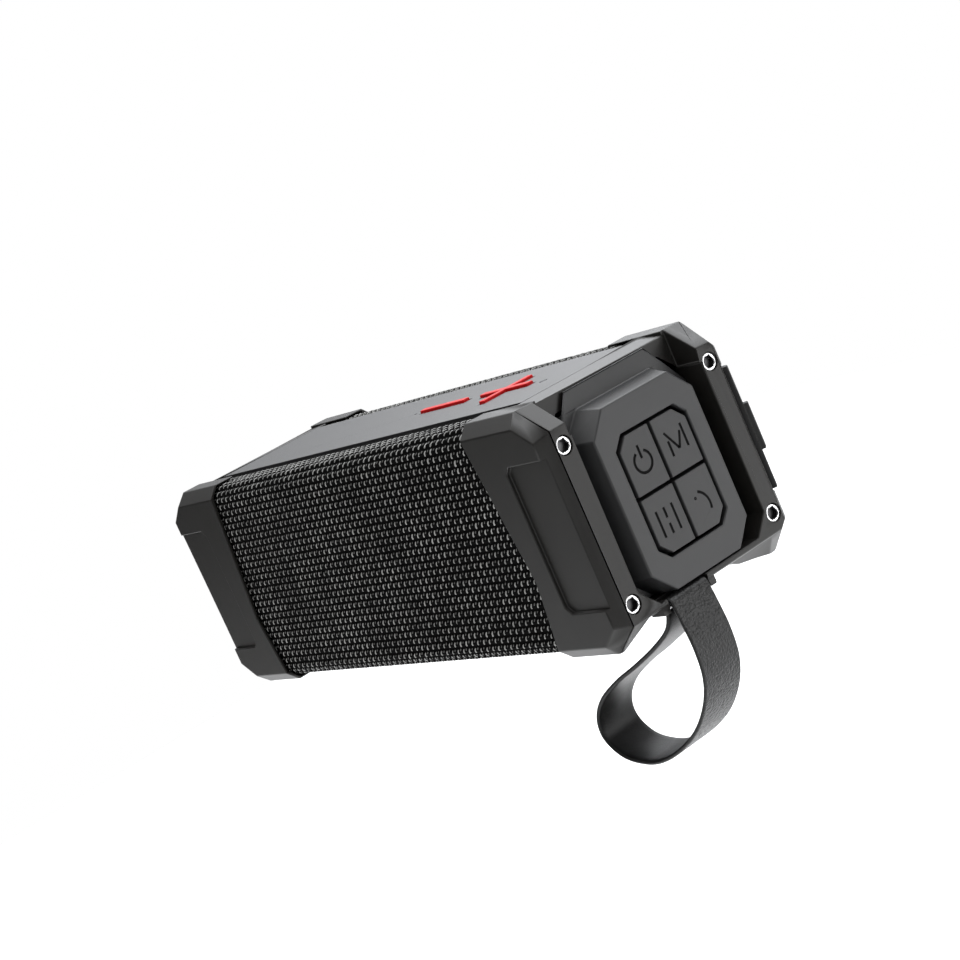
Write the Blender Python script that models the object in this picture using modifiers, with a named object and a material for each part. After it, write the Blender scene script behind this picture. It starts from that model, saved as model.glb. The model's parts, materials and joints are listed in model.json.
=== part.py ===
"""Rugged portable shower speaker, built as an assembly of separate pieces.

X runs along the length, towards the end with the keypad and the strap. The front grille faces -Y, the
port cover is at the back (+Y), and the volume keys are on top (+Z). The origin is at the middle of the
rubber strip that the speaker stands on. Every sub-part below is written about the centre of the speaker's
section, and hangs from one empty that lifts it to stand on the origin's plane.
"""
import math

import bmesh
import bpy
from mathutils import Matrix, Vector

MM = 0.001

# Overall sizes of the body, without the strap
LENGTH = 190.0 * MM
DEPTH = 63.8 * MM
HEIGHT = 63.6 * MM

# Clearances
GAP = 0.3 * MM                 # between pieces that touch on the real object
KEY_GAP = 0.45 * MM            # round a key in its hole
PIN_PLAY = 0.1 * MM            # round the strap's pin in its holes

# End frames: the bumpers that wrap each end
EDGE_CHAMFER = 3.4 * MM        # along the long edges
FRAME_REACH_TOP = 29.8 * MM    # from the end face to the inner edge, at the top
FRAME_REACH_KINK = 24.4 * MM   # the same at the narrowest place
FRAME_REACH_FOOT = 27.4 * MM   # the same at the bottom
KINK_DROP = 10.0 * MM          # of the narrowest place, below the section's centre
LIP_WALL = 1.0 * MM            # bumper wall where it laps over the mesh
LIP_REACH = 18.0 * MM          # from the end face to where the lap ends
FRAME_WALL = 4.1 * MM          # bumper wall next to the housing, at the front and back
FRAME_WALL_Z = 3.6 * MM        # the same at the top and bottom
END_WALL = 13.0 * MM           # from the end face to the frame's inner face
LEDGE = 2.0 * MM               # ledge that the end cap sits on
SLANT_RUN = 8.7 * MM           # slanted top and bottom of the end, along X
SLANT_DROP = 6.6 * MM          # the same, along Z
SIDE_CUT_RUN = 2.7 * MM        # chamfer between the front and the end, along X
SIDE_CUT_RUN_BACK = 3.5 * MM   # the same at the back, along X
SIDE_CUT_DROP = 3.6 * MM       # both chamfers, along Y
STRIP_WIDTH = 10.0 * MM        # top strips, from the outside to the panel's opening
SADDLE_DROP = 0.7 * MM         # how far the top sinks between the strips, towards the end
FOOT_WIDTH = 9.3 * MM          # feet, from the outside to the channel between them
FOOT_FLARE = 2.8 * MM          # how much wider the channel is at the end face
FOOT_SLOPE = 3.0 * MM          # how much narrower the channel is at its floor
CHANNEL_DEPTH = 1.5 * MM       # between the feet, up to where the floor starts to rise
CHANNEL_KNEE = 15.5 * MM       # from the end face to that place
CHANNEL_END = 6.4 * MM         # the channel's depth at the end face
OPENING_CUT = 5.0 * MM         # cut corners of the opening
POCKET_TOP = 19.6 * MM         # shallow pocket in the front face, above the centre
POCKET_FOOT = 19.0 * MM        # the same, below the centre
POCKET_REACH = 17.4 * MM       # from the end face to the pocket's inner edge
POCKET_DEPTH = 1.1 * MM
POCKET_CUT = 1.8 * MM

# Corner facets of the bumper: side in Y, side in Z, distance from the end face, and the facet's tilt
CORNER_FACETS = (
    (-1, 1, 8.6 * MM, (0.76, 0.85, 1.0)),
    (-1, -1, 8.6 * MM, (0.76, 0.85, 1.0)),
    (1, 1, 9.2 * MM, (0.75, 1.0, 0.77)),
    (1, -1, 7.6 * MM, (1.0, 0.78, 1.0)),
)

# End caps with their raised pods
CAP_FLOOR = 7.2 * MM           # from the end face down to the cap's floor
CAP_TOP_RISE = 4.9 * MM        # of the cap's sloped top above the pod
CAP_TOP_LEAN = 0.6 * MM
CAP_BAR_GAP = 0.6 * MM         # between the cap's top and the bumper's top bar
CAP_CORNER_Y = 8.5 * MM
CAP_CORNER_Z = 12.0 * MM
CAP_SIDE_GAP = 0.4 * MM
POD_FROM_SIDE = 14.5 * MM      # from the body's side to the pod's
POD_FROM_TOP = 7.9 * MM
POD_FROM_BASE = 8.1 * MM
POD_CUT_Y = 6.0 * MM
POD_CUT_Z = 6.3 * MM
POD_FLARE = 3.2 * MM           # how much wider the pod is at its foot
POD_FLARE_TOP = 1.6 * MM
POD_WALL = 2.0 * MM

# Keypad on the right pod
PAD_MARGIN_SIDE = 5.9 * MM     # from the pod's edge to the keys
PAD_MARGIN_TOP = 8.6 * MM
PAD_GAP = 0.85 * MM            # round the four keys together
PAD_CUT = 3.2 * MM
KEY_DEPTH = 4.0 * MM
KEY_TRAVEL_ROOM = 0.9 * MM
MAT_THICKNESS = 1.0 * MM
BOARD_THICKNESS = 1.0 * MM
SWITCH_SIZE = 3.0 * MM
SWITCH_HEIGHT = 1.2 * MM

# Screws through the end frames
SCREW_FROM_SIDE = 6.3 * MM
SCREW_FROM_TOP = 11.2 * MM
SCREW_HEAD_R = 2.35 * MM
HEAD_WALL = 0.45 * MM          # of the bumper's side bar, inside a screw's head
SCREW_HEAD_H = 2.4 * MM
SCREW_SINK = 0.3 * MM
SCREW_SHANK_R = 1.25 * MM
SCREW_LENGTH = 22.0 * MM
SOCKET_R = 1.45 * MM
SOCKET_DEPTH = 1.5 * MM
BOSS_R = 3.2 * MM
BOSS_LENGTH = 14.0 * MM

# Housing: the tube that holds the works
HOUSING_INSET_Y = 4.5 * MM     # from the front of the bumpers to the housing
HOUSING_INSET_Z = 4.2 * MM
HOUSING_WALL = 2.2 * MM
HOUSING_CHAMFER = 4.0 * MM
HOUSING_END = 14.5 * MM        # from the end face to the housing's end
GASKET = 0.9 * MM
GASKET_WIDTH = 2.0 * MM

# Mesh grilles
MESH_INSET_Y = 1.3 * MM
MESH_INSET_Z = 0.75 * MM
MESH_THICKNESS = 0.9 * MM
MESH_CHAMFER = 2.9 * MM
MESH_HALF_OPENING = 19.2 * MM  # half the width of the top and bottom panels' channel
MESH_END = 18.4 * MM           # from the end face to the mesh's end, under the lap

# Top and bottom panels
PANEL_INSET = 0.35 * MM        # of the top panel below the bumpers
PANEL_THICKNESS = 1.6 * MM
PANEL_SKIRT = 1.8 * MM
PAD_STRIP_LENGTH = 118.0 * MM
PAD_STRIP_WIDTH = 22.0 * MM
PAD_STRIP_HEIGHT = 1.4 * MM

# Volume keys, raised red marks
MARK_WIDTH = 2.3 * MM
MARK_LENGTH = 21.0 * MM
MARK_CROSS = 17.6 * MM
MARK_RISE = 0.75 * MM
MINUS_FROM_CENTRE = 19.0 * MM
PLUS_FROM_CENTRE = 47.6 * MM
LED_R = 0.8 * MM
LED_FROM_CENTRE = 63.5 * MM
MIC_HOLE_R = 0.5 * MM
MIC_R = 2.0 * MM
MIC_FROM_CENTRE = 4.5 * MM
TOP_BOARD_THICKNESS = 0.7 * MM

# Drivers
DRIVER_FROM_END = 39.5 * MM    # from the housing's end to the driver's middle
FLANGE_MARGIN = 2.6 * MM       # from the housing's edge to the flange
FLANGE_WIDTH = 2.4 * MM
FLANGE_THICKNESS = 1.0 * MM
BASKET_PLAY = 1.0 * MM         # round the basket in its hole
BASKET_DEPTH = 13.0 * MM
BASKET_FOOT_R = 13.0 * MM
BASKET_WALL = 1.1 * MM
MAGNET_R = 14.0 * MM
MAGNET_HEIGHT = 8.0 * MM
SURROUND_WIDTH = 5.0 * MM      # from the basket's outside to the cone
CONE_DEPTH = 6.5 * MM
CONE_NECK_R = 7.0 * MM
CONE_WALL = 0.7 * MM
DOME_RISE = 2.2 * MM
SURROUND_ROLL = 1.3 * MM
TURN_STEPS = 32

# Passive radiator in the rear wall
RADIATOR_HALF_LENGTH = 44.0 * MM
RADIATOR_HALF_HEIGHT = 17.0 * MM
RADIATOR_THICKNESS = 2.2 * MM
RADIATOR_SURROUND = 4.0 * MM

# Battery and main board
CELL_R = 9.2 * MM
CELL_LENGTH = 65.0 * MM
CELL_Y = 10.0 * MM
CELL_SPACING = 3.6 * MM        # between the two cells
CELL_FROM_END = 13.5 * MM      # from the housing's left end to the cells
CRADLE_WALL = 1.6 * MM
MAIN_BOARD = (60.0 * MM, 1.6 * MM, 38.0 * MM)
MAIN_BOARD_FROM_END = 42.5 * MM
MAIN_BOARD_Y = 10.0 * MM

# Port cover and what is behind it, in the back of the right end frame
COVER_TOP = 17.2 * MM
COVER_FOOT = 16.0 * MM
COVER_THICKNESS = 1.9 * MM
COVER_REACH = 17.0 * MM        # from the end face to the cover's hinged edge
TAB_TOP = 6.8 * MM
TAB_FOOT = 5.8 * MM
TAB_RISE = 1.2 * MM
TAB_LENGTH = 2.6 * MM
BAY_REACH_IN = 12.8 * MM       # port bay, from the end face to its inner side
BAY_REACH_OUT = 5.2 * MM       # the same to its outer side
BAY_HALF_HEIGHT = 13.6 * MM
PORT_PANEL_THICKNESS = 1.2 * MM
USB_SIZE = (9.0 * MM, 3.2 * MM)
AUX_R = 2.6 * MM
AUX_BORE_R = 1.8 * MM
CARD_SIZE = (8.4 * MM, 1.8 * MM)
PORT_DEPTH = 2.4 * MM
USB_Z = 8.5 * MM
AUX_Z = 0.6 * MM
CARD_Z = -7.6 * MM

# Strap, looped round a pin under the right pod
STRAP_WIDTH = 13.0 * MM
STRAP_THICKNESS = 1.2 * MM
STRAP_Y = -8.8 * MM
PIN_R = 0.75 * MM
PIN_FROM_END = 1.7 * MM
PIN_BELOW_POD = 2.6 * MM
EAR_WIDTH = 2.2 * MM
EAR_WALL = 0.45 * MM
STRAP_SIDE_GAP = 0.6 * MM
STRAP_BACK_GAP = 1.2 * MM

# Small details of the bumpers and caps
LAP_ROOM = 0.15 * MM            # over the mesh's top and foot
OPENING_OVER_POD = 2.4 * MM
TOP_OPENING_START = 2.0 * MM    # below the pod's top
TOP_CUT_START = 1.0 * MM        # below the inside of the bumper's top wall
LEDGE_ROOM = 2.0 * MM           # round the pod
POD_ROOT = 1.0 * MM             # into the cap's floor
POD_ROOT_CUT_Y = 1.4 * MM
POD_ROOT_CUT_Z = 0.5 * MM
MAT_MARGIN = 1.0 * MM
BOSS_INSET = 0.4 * MM
POCKET_TAIL_RUN = 0.7           # of the end's chamfer that the pocket goes on along
POCKET_TAIL_BACK = 0.6          # of the chamfer, back from its start

# Small details of the panels
PANEL_SIDE_GAP = 0.6 * MM
TOP_BOARD_SIDE = 2.0 * MM       # past the plus mark
TOP_BOARD_PAST_MIC = 1.0 * MM
TOP_BOARD_PAST_LED = 3.0 * MM
BASE_PAD_CORNER = 3.0 * MM

# Small details of the drivers and the battery
BASKET_FOOT_LIP = 5.0 * MM
BASKET_RIM_DROP = 1.0 * MM
MAGNET_CHAMFER = 1.0 * MM
CONE_SINK = 0.2 * MM
CONE_NECK_WALL = 1.0 * MM
CONE_NECK_DEPTH = 3.0 * MM
DOME_SHOULDER_R = 0.6           # of the neck's radius
DOME_SHOULDER_RISE = 0.7        # of the dome's rise
ROLL_SHOULDER = 0.5 * MM
ROLL_SHOULDER_DROP = 0.4 * MM
CRADLE_FRONT = 2.0 * MM         # behind the cells' middle

# Small details of the ports and their cover
COVER_BEND = 0.5 * MM           # past the start of the end's chamfer
COVER_TIP = 2.4 * MM
COVER_INNER_BEND = 0.62         # of the cover's thickness
TAB_BACK = 0.6 * MM
SOCKET_WALL = 0.5 * MM

# The main board's tall parts: x, z, width, height, depth
MAIN_BOARD_CHIPS = (
    (-18.0 * MM, 8.0 * MM, 9.0 * MM, 1.4 * MM, 9.0 * MM),
    (4.0 * MM, 9.0 * MM, 6.0 * MM, 4.0 * MM, 6.0 * MM),
    (14.0 * MM, 9.0 * MM, 6.0 * MM, 4.0 * MM, 6.0 * MM),
    (-6.0 * MM, -9.0 * MM, 12.0 * MM, 1.4 * MM, 12.0 * MM),
    (20.0 * MM, -10.0 * MM, 8.0 * MM, 5.0 * MM, 6.0 * MM),
)

HALF_L = LENGTH / 2
HALF_D = DEPTH / 2
HALF_H = HEIGHT / 2
POD_HALF_WIDTH = HALF_D - POD_FROM_SIDE
POD_TOP = HALF_H - POD_FROM_TOP
POD_FOOT = HALF_H - POD_FROM_BASE
PAD_HALF_WIDTH = POD_HALF_WIDTH - PAD_MARGIN_SIDE
PAD_HALF_HEIGHT = POD_TOP - PAD_MARGIN_TOP
SCREW_Y = HALF_D - SCREW_FROM_SIDE
SCREW_Z = HALF_H - SCREW_FROM_TOP
BAR_WIDTH = SCREW_FROM_SIDE + SCREW_HEAD_R + HEAD_WALL
PIN_X = HALF_L - PIN_FROM_END
PIN_Z = -POD_FOOT - PIN_BELOW_POD
STRAP_TURN_R = PIN_R + GAP + STRAP_THICKNESS / 2
HOUSING_HALF_Y = HALF_D - HOUSING_INSET_Y
HOUSING_HALF_Z = HALF_H - HOUSING_INSET_Z
HOUSING_HALF_X = HALF_L - HOUSING_END
FLANGE_R = HOUSING_HALF_Z - FLANGE_MARGIN
DRIVER_HOLE_R = FLANGE_R - FLANGE_WIDTH
BASKET_R = DRIVER_HOLE_R - BASKET_PLAY
CONE_R = BASKET_R - SURROUND_WIDTH
DRIVER_X = HOUSING_HALF_X - DRIVER_FROM_END
CELL_Z = CELL_R + CELL_SPACING / 2
CELL_END_X = CELL_FROM_END + CELL_LENGTH - HOUSING_HALF_X
MAIN_BOARD_X = HOUSING_HALF_X - MAIN_BOARD_FROM_END
PANEL_TOP = HALF_H - PANEL_INSET
CAP_BACK = HALF_L - END_WALL + LEDGE + GAP
CAP_FLOOR_X = HALF_L - CAP_FLOOR
BAY_DEPTH = PORT_PANEL_THICKNESS + PORT_DEPTH + BOARD_THICKNESS + 4 * GAP

MATERIALS = {
    "frame_plastic": ((0.022, 0.021, 0.020), 0.48, 0.0),
    "cap_plastic": ((0.040, 0.040, 0.041), 0.50, 0.0),
    "mesh_fabric": ((0.012, 0.012, 0.012), 0.85, 0.0),
    "key_plastic": ((0.036, 0.036, 0.037), 0.52, 0.0),
    "red_silicone": ((0.55, 0.018, 0.020), 0.45, 0.0),
    "rubber": ((0.015, 0.015, 0.015), 0.80, 0.0),
    "inner_plastic": ((0.06, 0.06, 0.06), 0.60, 0.0),
    "steel": ((0.62, 0.62, 0.63), 0.25, 1.0),
    "magnet_steel": ((0.30, 0.30, 0.31), 0.40, 1.0),
    "cone_paper": ((0.03, 0.03, 0.035), 0.75, 0.0),
    "board_green": ((0.02, 0.10, 0.05), 0.50, 0.0),
    "cell_wrap": ((0.05, 0.16, 0.35), 0.40, 0.0),
    "lens": ((0.75, 0.80, 0.85), 0.15, 0.0),
    "strap_leather": ((0.018, 0.017, 0.017), 0.55, 0.0),
}


def clear_scene():
    for old in list(bpy.data.objects):
        bpy.data.objects.remove(old, do_unlink=True)


def make_collections():
    parts = bpy.data.collections.new("shower_speaker")
    cutters = bpy.data.collections.new("cutters")
    for collection in (parts, cutters):
        bpy.context.scene.collection.children.link(collection)
    return parts, cutters


def make_materials():
    made = {}
    for name, (colour, roughness, metallic) in MATERIALS.items():
        material = bpy.data.materials.new(name)
        material.use_nodes = True
        shader = material.node_tree.nodes["Principled BSDF"]
        shader.inputs["Base Color"].default_value = (*colour, 1.0)
        shader.inputs["Roughness"].default_value = roughness
        shader.inputs["Metallic"].default_value = metallic
        made[name] = material
    return made


clear_scene()
PARTS, CUTTERS = make_collections()
MATERIAL = make_materials()
CENTRE = bpy.data.objects.new("section_centre", None)
CENTRE.location = (0.0, 0.0, HALF_H)
PARTS.objects.link(CENTRE)


# Modelling helpers

def to_object(name, bm, material=None):
    """A closed bmesh as an object: a part when it has a material, otherwise a cutter."""
    bmesh.ops.recalc_face_normals(bm, faces=bm.faces)
    mesh = bpy.data.meshes.new(name)
    bm.to_mesh(mesh)
    bm.free()
    made = bpy.data.objects.new(name, mesh)
    made.parent = CENTRE
    if material:
        mesh.materials.append(MATERIAL[material])
        PARTS.objects.link(made)
    else:
        made.hide_render = True
        made.display_type = 'WIRE'
        CUTTERS.objects.link(made)
    return made


def block_bm(low, high):
    """A box between two corners."""
    bm = bmesh.new()
    bmesh.ops.create_cube(bm, size=1.0)
    low, high = Vector(low), Vector(high)
    bmesh.ops.scale(bm, vec=high - low, verts=bm.verts)
    bmesh.ops.translate(bm, vec=(low + high) / 2, verts=bm.verts)
    return bm


def chamfer_along(bm, axis, width):
    """Cuts the edges that run along one axis."""
    edges = []
    for edge in bm.edges:
        run = edge.verts[1].co - edge.verts[0].co
        if abs(run[axis]) > 0.999 * run.length:
            edges.append(edge)
    bmesh.ops.bevel(bm, geom=edges, offset=width, offset_type='OFFSET', segments=1, affect='EDGES')
    return bm


def prism_bm(outline, axis, start, end):
    """A flat outline in the plane across an axis, drawn out from start to end along it."""
    others = [i for i in range(3) if i != axis]
    bm = bmesh.new()
    corners = []
    for point in outline:
        place = [0.0, 0.0, 0.0]
        place[axis] = start
        place[others[0]], place[others[1]] = point
        corners.append(bm.verts.new(place))
    face = bm.faces.new(corners)
    drawn = bmesh.ops.extrude_face_region(bm, geom=[face])
    moved = [item for item in drawn["geom"] if isinstance(item, bmesh.types.BMVert)]
    step = [0.0, 0.0, 0.0]
    step[axis] = end - start
    bmesh.ops.translate(bm, vec=step, verts=moved)
    return bm


def hull_bm(points):
    """The convex solid round a set of points."""
    bm = bmesh.new()
    for point in points:
        bm.verts.new(point)
    bmesh.ops.convex_hull(bm, input=bm.verts)
    bmesh.ops.dissolve_limit(bm, angle_limit=math.radians(0.5), verts=bm.verts, edges=bm.edges)
    return bm


def trim(bm, point, normal):
    """Takes off what lies beyond a plane, and closes the cut."""
    everything = list(bm.verts) + list(bm.edges) + list(bm.faces)
    bmesh.ops.bisect_plane(bm, geom=everything, dist=1e-7, plane_co=point, plane_no=normal, clear_outer=True)
    rim = [edge for edge in bm.edges if edge.is_boundary]
    if rim:
        bmesh.ops.edgeloop_fill(bm, edges=rim)
    return bm


def cylinder_bm(centre, axis, radius, start, end, steps=TURN_STEPS):
    """A round bar along an axis."""
    bm = bmesh.new()
    bmesh.ops.create_cone(bm, cap_ends=True, segments=steps, radius1=radius, radius2=radius,
                          depth=end - start)
    if axis == 0:
        bmesh.ops.rotate(bm, matrix=Matrix.Rotation(math.pi / 2, 3, 'Y'), verts=bm.verts)
    elif axis == 1:
        bmesh.ops.rotate(bm, matrix=Matrix.Rotation(math.pi / 2, 3, 'X'), verts=bm.verts)
    place = list(centre)
    place.insert(axis, (start + end) / 2)
    bmesh.ops.translate(bm, vec=place, verts=bm.verts)
    return bm


def mirrored(bm, side):
    """The left end is the right end seen in a mirror."""
    if side < 0:
        bmesh.ops.scale(bm, vec=(-1, 1, 1), verts=bm.verts)
        bmesh.ops.reverse_faces(bm, faces=bm.faces)
    return bm


def boolean(target, tool, operation):
    modifier = target.modifiers.new(operation.lower(), 'BOOLEAN')
    modifier.operation = operation
    modifier.solver = 'EXACT'
    modifier.object = tool


def cut(target, bm):
    boolean(target, to_object(target.name + "_cut", bm), 'DIFFERENCE')


def join(target, bm):
    boolean(target, to_object(target.name + "_join", bm), 'UNION')


def turned(name, profile, material, steps=TURN_STEPS):
    """A closed or axis-to-axis profile of (radius, height) points, turned round Z."""
    mesh = bpy.data.meshes.new(name)
    closed = profile[0][0] > 0
    edges = [(i, i + 1) for i in range(len(profile) - 1)]
    if closed:
        edges.append((len(profile) - 1, 0))
    mesh.from_pydata([(r, 0.0, z) for r, z in profile], edges, [])
    made = bpy.data.objects.new(name, mesh)
    mesh.materials.append(MATERIAL[material])
    made.parent = CENTRE
    PARTS.objects.link(made)
    screw = made.modifiers.new("turn", 'SCREW')
    screw.steps = steps
    screw.render_steps = steps
    screw.use_merge_vertices = True
    screw.merge_threshold = 0.00001
    screw.use_smooth_shade = True
    return made


def set_origin(made, place):
    """Moves an object's origin to a place about the section's centre, and leaves its shape where it is."""
    made.data.transform(Matrix.Translation(-Vector(place)))
    made.location = place


def smooth(made, angle=35.0):
    made.data.shade_smooth()
    made.data.set_sharp_from_angle(angle=math.radians(angle))


def cut_corners(half_width, low, high, cut_y, cut_z):
    """An upright rectangle with its four corners cut, as (y, z) points."""
    return [
        (-half_width, low + cut_z), (-half_width + cut_y, low),
        (half_width - cut_y, low), (half_width, low + cut_z),
        (half_width, high - cut_z), (half_width - cut_y, high),
        (-half_width + cut_y, high), (-half_width, high - cut_z),
    ]


# End frames

def frame_outer():
    """The bumper's outer shape: its side view drawn across the depth, then its corners cut."""
    top_x = HALF_L - FRAME_REACH_TOP
    kink_x = HALF_L - FRAME_REACH_KINK
    foot_x = HALF_L - FRAME_REACH_FOOT
    shoulder = HALF_H - EDGE_CHAMFER
    outline = [
        (top_x, HALF_H), (HALF_L - SLANT_RUN, HALF_H), (HALF_L, HALF_H - SLANT_DROP),
        (HALF_L, -HALF_H + SLANT_DROP), (HALF_L - SLANT_RUN, -HALF_H), (foot_x, -HALF_H),
        (foot_x, -shoulder), (kink_x, -KINK_DROP), (top_x, shoulder),
    ]
    bm = prism_bm(outline, 1, -HALF_D, HALF_D)
    for y in (-1, 1):
        for z in (-1, 1):
            trim(bm, (0, y * (HALF_D - EDGE_CHAMFER), z * HALF_H), (0, y, z))
    for y, z, run, tilt in CORNER_FACETS:
        facet = (tilt[0], y * tilt[1], z * tilt[2])
        trim(bm, (HALF_L - run, y * HALF_D, z * (HALF_H - EDGE_CHAMFER)), facet)
    for y, run in ((-1, SIDE_CUT_RUN), (1, SIDE_CUT_RUN_BACK)):
        trim(bm, (HALF_L - run, y * HALF_D, 0), (SIDE_CUT_DROP, y * run, 0))
    return bm


def frame_hollow():
    """Room for the housing and the mesh inside the bumper."""
    inner_y = HALF_D - FRAME_WALL
    inner_z = HALF_H - FRAME_WALL_Z
    return block_bm((0, -inner_y, -inner_z), (HALF_L - END_WALL, inner_y, inner_z))


def frame_lap():
    """Wider room where the bumper laps over the mesh."""
    lap_y = HALF_D - LIP_WALL
    lap_z = HALF_H - MESH_INSET_Z + LAP_ROOM
    bm = block_bm((0, -lap_y, -lap_z), (HALF_L - LIP_REACH, lap_y, lap_z))
    return chamfer_along(bm, 0, MESH_CHAMFER)


def frame_opening():
    half = HALF_D - BAR_WIDTH
    outline = cut_corners(half, -POD_FOOT - GAP, POD_TOP + OPENING_OVER_POD, OPENING_CUT, OPENING_CUT)
    return prism_bm(outline, 0, HALF_L - END_WALL + LEDGE, HALF_L + LEDGE)


def frame_top_cut():
    """Room for the top panel between the strips, and the top sinking a little from there to the slant."""
    half = HALF_D - STRIP_WIDTH
    low = HALF_H - FRAME_WALL_Z - TOP_CUT_START
    start = HALF_L - LIP_REACH
    end = HALF_L - SLANT_RUN + GAP
    over = HALF_H + LEDGE
    outline = [(0, low), (start, low), (start, PANEL_TOP),
               (end, PANEL_TOP - SADDLE_DROP), (end, over), (0, over)]
    return prism_bm(outline, 1, -half, half)


def channel_section(x, floor, half):
    """One cross-section of the channel between the feet."""
    under = -HALF_H - LEDGE
    spread = FOOT_SLOPE * (floor - under) / CHANNEL_DEPTH / 2
    return [(x, -half - spread, under), (x, half + spread, under), (x, half - FOOT_SLOPE, floor),
            (x, -half + FOOT_SLOPE, floor)]


def frame_channels():
    """The gap between the feet: deep at the bottom panel, then shallow, then rising to the end face."""
    half = HALF_D - FOOT_WIDTH
    full = block_bm((0, -half, -HALF_H - LEDGE), (HALF_L - LIP_REACH, half, -HALF_H + FRAME_WALL_Z))
    shallow = -HALF_H + CHANNEL_DEPTH
    knee = HALF_L - CHANNEL_KNEE
    steepness = (CHANNEL_END - CHANNEL_DEPTH) / CHANNEL_KNEE
    near = channel_section(HALF_L - LIP_REACH - GAP, shallow, half)
    middle = channel_section(knee + GAP, shallow, half)
    before = channel_section(knee - GAP, shallow - steepness * GAP, half)
    far = channel_section(HALF_L + GAP, shallow + steepness * (CHANNEL_KNEE + GAP), half + FOOT_FLARE)
    return [full, hull_bm(near + middle), hull_bm(before + far)]


def pocket_cut(side_y, top, foot, reach):
    """A shallow pocket in the front or back face, open towards the end."""
    inner = HALF_L - reach
    outer = HALF_L + LEDGE
    outline = [
        (inner, -foot + POCKET_CUT), (inner + POCKET_CUT, -foot), (outer, -foot),
        (outer, top), (inner + POCKET_CUT, top), (inner, top - POCKET_CUT),
    ]
    near = side_y * (HALF_D - POCKET_DEPTH)
    far = side_y * (HALF_D + LEDGE)
    return prism_bm(outline, 1, near, far)


def slanted_pocket_cut(top, foot):
    """The back pocket, carried round the chamfer towards the end face."""
    run = Vector((SIDE_CUT_RUN_BACK, -SIDE_CUT_DROP))
    out = Vector((SIDE_CUT_DROP, SIDE_CUT_RUN_BACK)).normalized()
    start = Vector((HALF_L - SIDE_CUT_RUN_BACK, HALF_D)) - out * (POCKET_DEPTH + GAP)
    end = start + run * POCKET_TAIL_RUN
    back = start - run * POCKET_TAIL_BACK
    outline = [back, end, end + out * 3 * POCKET_DEPTH, back + out * 3 * POCKET_DEPTH]
    return prism_bm([tuple(point) for point in outline], 2, -foot, top)


def screw_places():
    return [(y * SCREW_Y, z * SCREW_Z) for y in (-1, 1) for z in (-1, 1)]


def end_frame(side, name):
    frame = to_object(name, mirrored(frame_outer(), side), "frame_plastic")
    bar_half = HALF_D - BAR_WIDTH
    ledge_half = POD_HALF_WIDTH + LEDGE_ROOM
    tools = [
        frame_hollow(),
        frame_lap(),
        frame_top_cut(),
        frame_opening(),
        block_bm((HALF_L - SLANT_RUN, -bar_half, POD_TOP - TOP_OPENING_START),
                 (HALF_L + LEDGE, bar_half, HALF_H + LEDGE)),
        block_bm((0, -ledge_half, -ledge_half), (HALF_L, ledge_half, ledge_half)),
        pocket_cut(-1, POCKET_TOP, POCKET_FOOT, POCKET_REACH),
    ]
    tools.extend(frame_channels())
    if side < 0:
        tools.append(pocket_cut(1, POCKET_TOP, POCKET_FOOT, POCKET_REACH))
    else:
        cover_gap = 2 * GAP
        tools.append(pocket_cut(1, COVER_TOP + cover_gap, COVER_FOOT + cover_gap, COVER_REACH + cover_gap))
        tools.append(slanted_pocket_cut(COVER_TOP + cover_gap, COVER_FOOT + cover_gap))
        tools.append(port_bay())
    for y, z in screw_places():
        head_floor = HALF_L - SCREW_SINK - SCREW_HEAD_H - GAP
        tools.append(cylinder_bm((y, z), 0, SCREW_HEAD_R + GAP / 2, head_floor, HALF_L + LEDGE, 24))
        tools.append(cylinder_bm((y, z), 0, SCREW_SHANK_R + GAP, 0, HALF_L, 16))
    for tool in tools:
        cut(frame, mirrored(tool, side))
    if side > 0:
        add_strap_ears(frame)
    return frame


def port_bay():
    """The bay behind the port cover."""
    floor = HALF_D - POCKET_DEPTH
    low = (HALF_L - BAY_REACH_IN, floor - BAY_DEPTH, -BAY_HALF_HEIGHT)
    high = (HALF_L - BAY_REACH_OUT, HALF_D, BAY_HALF_HEIGHT)
    return block_bm(low, high)


def strap_slot_sides():
    half = STRAP_WIDTH / 2 + STRAP_SIDE_GAP
    return STRAP_Y - half, STRAP_Y + half


def add_strap_ears(frame):
    """A notch for the strap under the pod, and an ear at each side of it for the pin."""
    near, far = strap_slot_sides()
    back = PIN_X - STRAP_TURN_R - STRAP_THICKNESS / 2 - STRAP_BACK_GAP
    ear_low = PIN_Z - PIN_R - PIN_PLAY - EAR_WALL
    for low_y in (near - EAR_WIDTH, far):
        low = (back, low_y, ear_low)
        high = (HALF_L - GAP, low_y + EAR_WIDTH, -POD_FOOT - GAP)
        join(frame, block_bm(low, high))
    cut(frame, block_bm((back, near, -HALF_H), (HALF_L + LEDGE, far, -POD_FOOT)))
    pin_start = near - EAR_WIDTH + EAR_WALL - GAP
    pin_end = far + EAR_WIDTH - EAR_WALL + GAP
    cut(frame, cylinder_bm((PIN_X, PIN_Z), 1, PIN_R + PIN_PLAY, pin_start, pin_end, 16))


def strap_pin():
    near, far = strap_slot_sides()
    start = near - EAR_WIDTH + EAR_WALL
    end = far + EAR_WIDTH - EAR_WALL
    pin = to_object("strap_pin", cylinder_bm((PIN_X, PIN_Z), 1, PIN_R, start, end, 16), "steel")
    smooth(pin)


# End caps and keypad

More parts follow.
